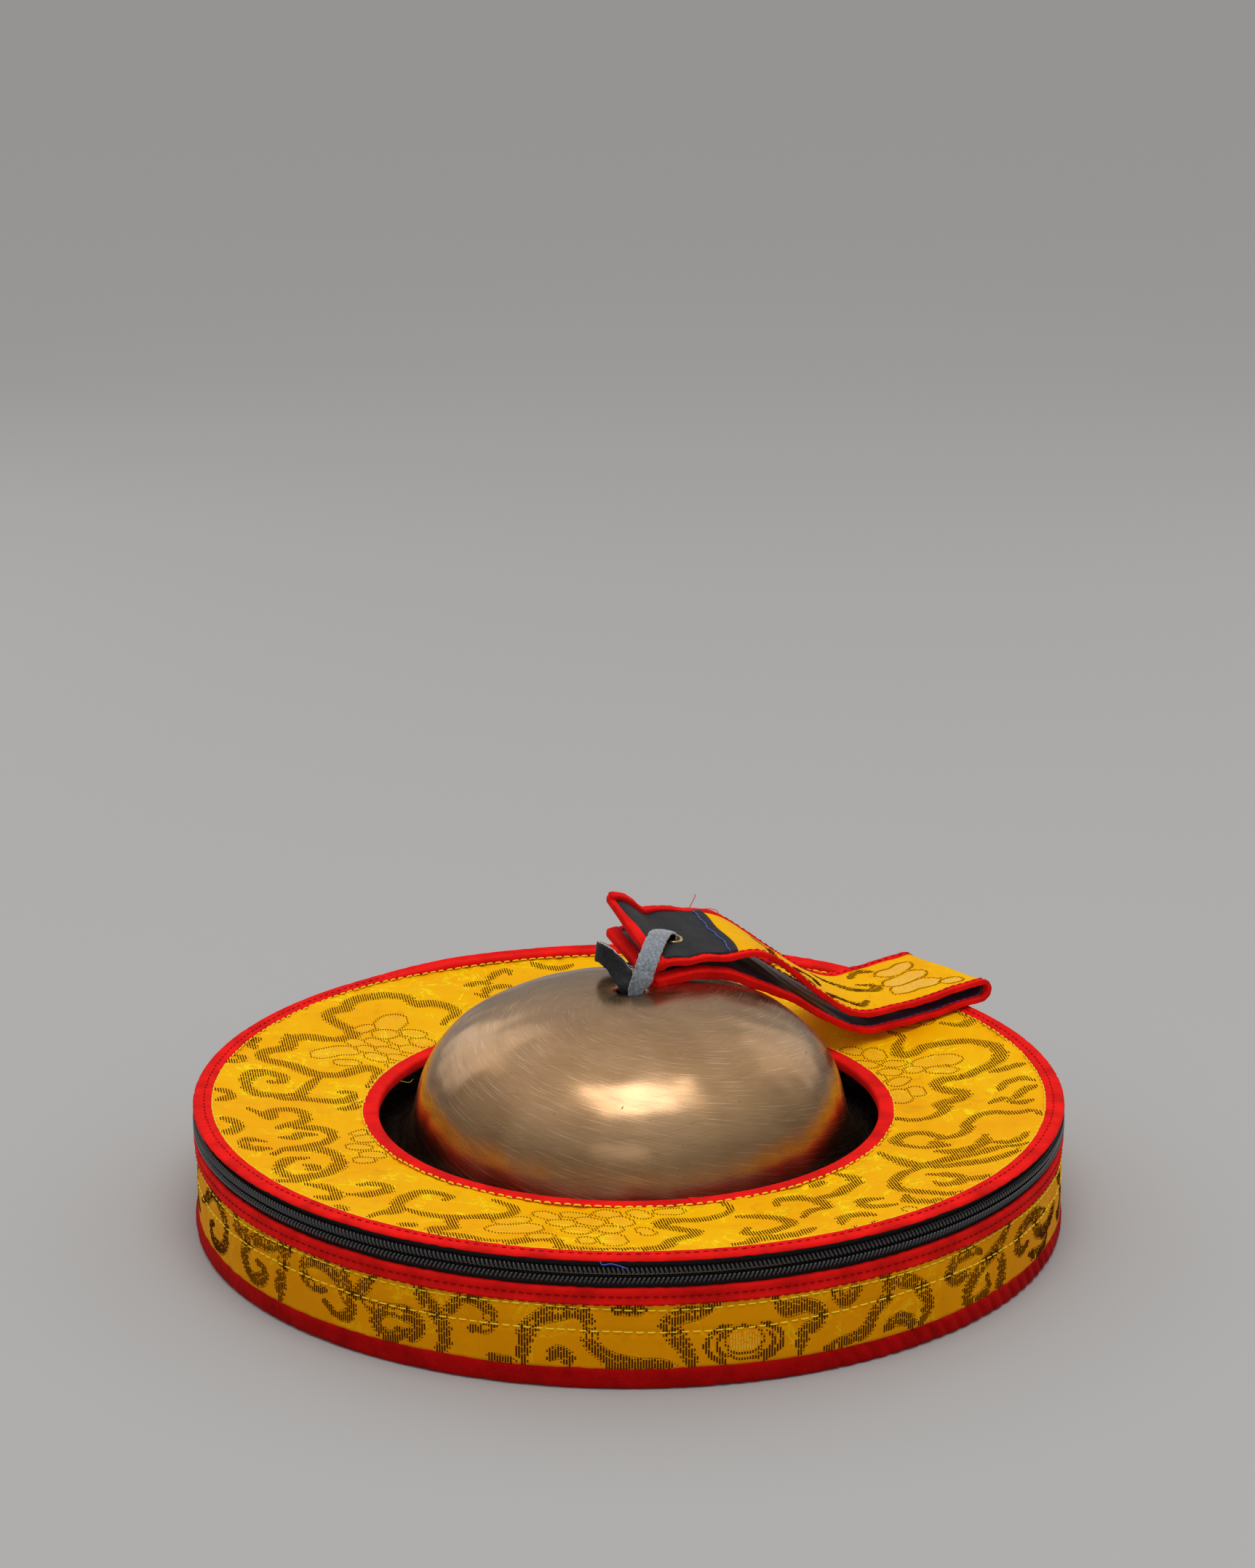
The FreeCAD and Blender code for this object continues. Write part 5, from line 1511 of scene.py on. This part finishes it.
# ---- the thong ---------------------------------------------------------------------------------
def make_thong():
    """A leather strip out of the boss's hole, through both eyelets and back into the hole."""
    x, y = CYMBAL
    lo, hi = (np.array(c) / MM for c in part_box("upper_eyelet_top"))
    above = (lo + hi) / 2
    lo, hi = (np.array(c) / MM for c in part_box("upper_eyelet_bottom"))
    below = (lo + hi) / 2
    w, p, in_hole = 7.0, 3.0, 5.2       # its width in the open, in the eyelets and in the hole
    knot_top = 77.55
    # centre, direction of the strip's width, and width
    stations = [
        ((x + 1.6, y - 1.0, knot_top), (1, 0, 0), in_hole), ((x + 1.9, y - 1.0, 82.6), (1, 0, 0), in_hole),
        ((x + 3.9, y - 0.8, 86.3), (1.0, 0.1, -0.05), w), ((x + 5.2, y + 1.6, 89.8), (1.0, 0.1, -0.1), w),
        ((x + 6.7, y + 6.2, 92.6), (1.0, 0.1, -0.1), w), ((x + 8.6, y + 14.1, 94.7), (1.0, 0.0, -0.1), w),
        ((x + 10.4, y + 20.1, 95.7), (1.0, -0.3, -0.1), w), (above + (-2.2, -4.0, 5.7), (0.8, -0.6, 0), 5.2),
        (above + (-0.3, -0.7, 4.0), (0.8, -0.6, 0), 3.8), (above + (0, 0, 2.0), (0.8, -0.6, 0), p),
        (above + (0, 0, -1.6), (0.8, -0.6, 0), p), (below + (0, 0, -0.6), (0.6, -0.9, 0), p),
        (below + (-0.2, -0.1, -2.2), (0.5, -1, 0), p), (below + (-3.2, -1.6, -3.0), (0.4, -1, 0.1), 4.2),
        ((x + 3.4, y + 25.2, 82.2), (0.3, -1, 0.05), w), ((x - 3.0, y + 25.0, 83.0), (0.3, -1, 0.3), w),
        ((x - 7.8, y + 23.6, 86.0), (0.25, -0.5, 0.9), w), ((x - 10.8, y + 20.2, 89.0), (0.15, 0.1, 1), w),
        ((x - 11.2, y + 16.4, 90.4), (0.12, 0.1, 1), w), ((x - 9.4, y + 12.6, 90.6), (0.2, 0, 1), w),
        ((x - 6.6, y + 9.0, 89.6), (0.45, 0, 0.9), w), ((x - 4.0, y + 5.6, 87.6), (0.8, -0.1, 0.6), w),
        ((x - 2.2, y + 2.8, 85.0), (1.0, -0.1, 0.2), w), ((x - 1.5, y + 1.0, 82.4), (1, 0, 0), in_hole),
        ((x - 1.4, y + 1.0, knot_top), (1, 0, 0), in_hole)]
    step = 0.6
    centre = curve_through([s[0] for s in stations], step)
    count = len(centre)
    # widths and directions follow the same stations
    key = [0]
    for a, b in zip(stations, stations[1:]):
        gap = np.linalg.norm(np.array(b[0]) - np.array(a[0]))
        key.append(key[-1] + max(int(gap / step), 1))
    rows = np.arange(count)
    wide = np.interp(rows, key, [s[2] for s in stations])
    towards = [[d / np.linalg.norm(s[1]) for d in s[1]] for s in stations]
    side = np.stack([np.interp(rows, key, [t[k] for t in towards]) for k in range(3)], -1)
    along = unit(np.gradient(centre, axis=0))
    side = unit(side - along * (side * along).sum(-1, keepdims=True))
    normal = np.cross(along, side)
    rng = np.random.default_rng(51)
    fray = 1.0 + 0.03 * np.sin(rows * 0.9) + 0.025 * rng.standard_normal(count)
    n = 12
    c = np.linspace(-1, 1, n)
    bulge = 0.10 * (1 - c ** 2)
    face, back = [], []
    for k in range(n):
        edge = np.abs(c[k]) ** 6
        rough = 0.05 * rng.standard_normal(count)
        p = centre + side * (c[k] * wide / 2 * fray)[:, None]
        face.append(p + normal * (0.62 - 0.25 * edge + bulge[k] + rough)[:, None])
        back.append(p - normal * (0.62 - 0.25 * edge + 0.5 * bulge[k]))
    verts, faces = closed_sheet(np.array(face), np.array(back), False)
    quads = (n - 1) * (count - 1)
    mats = np.zeros(len(faces), int)
    mats[quads:2 * quads] = 1
    mats[2 * quads:] = 2
    obj = build("thong_leather", verts, faces, [M_BLACK, M_SUEDE, M_EDGE], mats)
    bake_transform(obj)
    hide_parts("upper_thong")


# ---- loose threads --------------------------------------------------------------------------------
def make_threads():
    loose = [
        ("zip_blue_thread", "lid", M_BLUE, 0.16,
         [(-9, -149.6, 44.0), (-8.2, -150.0, 42.9), (-5.5, -150.0, 43.2), (-2.5, -150.0, 42.4),
          (-0.5, -149.9, 41.6)]),
        ("gap_yellow_thread", "lid", M_GOLD, 0.08,
         [(-81.5, 26, 38.0), (-79, 26.5, 37.0), (-77, 27.5, 36.4), (-75.9, 28.5, 37.2)]),
        ("strap_red_thread_a", "upper_strap", M_REDTHREAD, 0.16,
         [(21, 61.0, 88.2), (22.0, 61.5, 90.6), (23.6, 62, 93.8), (23.4, 62, 94.8)]),
        ("strap_red_thread_b", "upper_strap", M_REDTHREAD, 0.15,
         [(23.5, 61.4, 88.0), (27.0, 63.0, 88.8), (31.0, 65.5, 87.6), (32.5, 67.0, 84.8)]),
        ("strap_yellow_thread", "upper_strap", M_GOLD, 0.14,
         [(51.5, 64.0, 69.5), (53.0, 63.0, 72.6), (54.4, 63.6, 72.0), (54.6, 65.0, 68.6)]),
    ]
    for name, body, mat, radius, points in loose:
        piece(name, tube(curve_through(points, 0.35), radius), mat, body)


# ---- CAD nodes shown as they are ---------------------------------------------------------------------
def dress(node, mat, bevel=0.0):
    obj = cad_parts[node]
    obj.data.materials.clear()
    obj.data.materials.append(mat)
    if bevel:
        mod = obj.modifiers.new("soft_edges", "BEVEL")
        mod.width = bevel * MM
        mod.segments = 2
        mod.limit_method = "ANGLE"
        mod.angle_limit = math.radians(40)


cover, lid_motif = make_lid()
wall, wall_motif = make_wall()
make_bindings()
make_stitching()
make_zip()
hinge = make_hinge()
make_cymbal("upper_bronze", "upper_cymbal", 0.0, 61)
make_cymbal("lower_bronze", "lower_cymbal", NEST, 63)
strap_band, strap_lining = make_strap()
make_thong()
make_threads()

for node, mat in (("base_cover", M_LID), ("base_board", M_BOARD), ("base_lining", M_LINING),
                  ("wall_lining", M_LINING), ("wall_padding", M_WADDING), ("lid_board", M_BOARD),
                  ("lid_lining", M_LINING), ("upper_washer", M_BLACK), ("lower_washer", M_BLACK),
                  ("upper_knot", M_SUEDE), ("lower_knot", M_SUEDE), ("lower_thong", M_SUEDE),
                  ("lower_strap_band", M_STRAP), ("lower_strap_front_binding", M_RED),
                  ("lower_strap_back_binding", M_RED), ("lower_eyelets", M_EYELET)):
    dress(node, mat)
dress("zip_slider", M_ENAMEL, 0.25)
dress("zip_pull", M_ENAMEL, 0.25)


# ---- floor, light and camera ---------------------------------------------------------------------------
def lamp(name, place, energy, wide, tall, aim):
    data = bpy.data.lights.new(name, "AREA")
    data.energy = energy
    data.shape = "RECTANGLE"
    data.size = wide
    data.size_y = tall
    obj = bpy.data.objects.new(name, data)
    obj.location = place
    obj.rotation_euler = (Vector(aim) - Vector(place)).to_track_quat("-Z", "Y").to_euler()
    bpy.context.scene.collection.objects.link(obj)


def make_floor():
    s = Shader("floor_paper", Specular_IOR_Level=0.2)
    paper = s.finish((0.44, 0.437, 0.434), 0.75)
    far = 40.0 / MM
    corners = [(-far, -far, 0), (far, -far, 0), (far, far, 0), (-far, far, 0)]
    build("floor", corners, [(0, 1, 2, 3)], paper, smooth=False)


def make_world():
    """A soft tent that is brighter overhead than at the horizon."""
    world = bpy.data.worlds.new("studio")
    bpy.context.scene.world = world
    world.use_nodes = True
    nodes, links = world.node_tree.nodes, world.node_tree.links
    split = nodes.new("ShaderNodeSeparateXYZ")
    links.new(nodes.new("ShaderNodeTexCoord").outputs["Generated"], split.inputs[0])
    tent = nodes.new("ShaderNodeValToRGB")
    links.new(split.outputs["Z"], tent.inputs["Fac"])
    for stop, level in zip(tent.color_ramp.elements, (0.30, 0.95)):
        stop.color = (level, level * 0.99, level * 0.975, 1.0)
    tent.color_ramp.elements[1].position = 0.9
    links.new(tent.outputs["Color"], nodes["Background"].inputs["Color"])
    nodes["Background"].inputs["Strength"].default_value = 0.84


def make_camera():
    cam = bpy.data.cameras.new("camera")
    cam.sensor_width = 36.0
    cam.sensor_fit = "AUTO"
    cam.lens = 100.2
    cam.clip_start, cam.clip_end = 0.05, 50.0
    obj = bpy.data.objects.new("camera", cam)
    obj.location = (-0.0004, -1.4114, 0.5827)
    looking_down = 16.88        # degrees below level
    obj.rotation_euler = (math.radians(90.0 - looking_down), 0.0, 0.0)
    bpy.context.scene.collection.objects.link(obj)
    bpy.context.scene.camera = obj


bpy.context.scene.view_settings.view_transform = "Standard"
make_floor()
lamp("key", (0.05, -0.33, 1.25), 4.6, 0.70, 0.60, (0, 0, 0.04))
lamp("left", (-0.75, 0.85, 0.62), 1.5, 0.8, 0.8, (0, 0, 0.06))
lamp("right", (0.80, 0.80, 0.66), 1.1, 0.8, 0.8, (0, 0, 0.06))
lamp("front", (-0.1, -1.5, 0.55), 0.6, 1.2, 0.4, (0, 0, 0.03))
make_world()
make_camera()
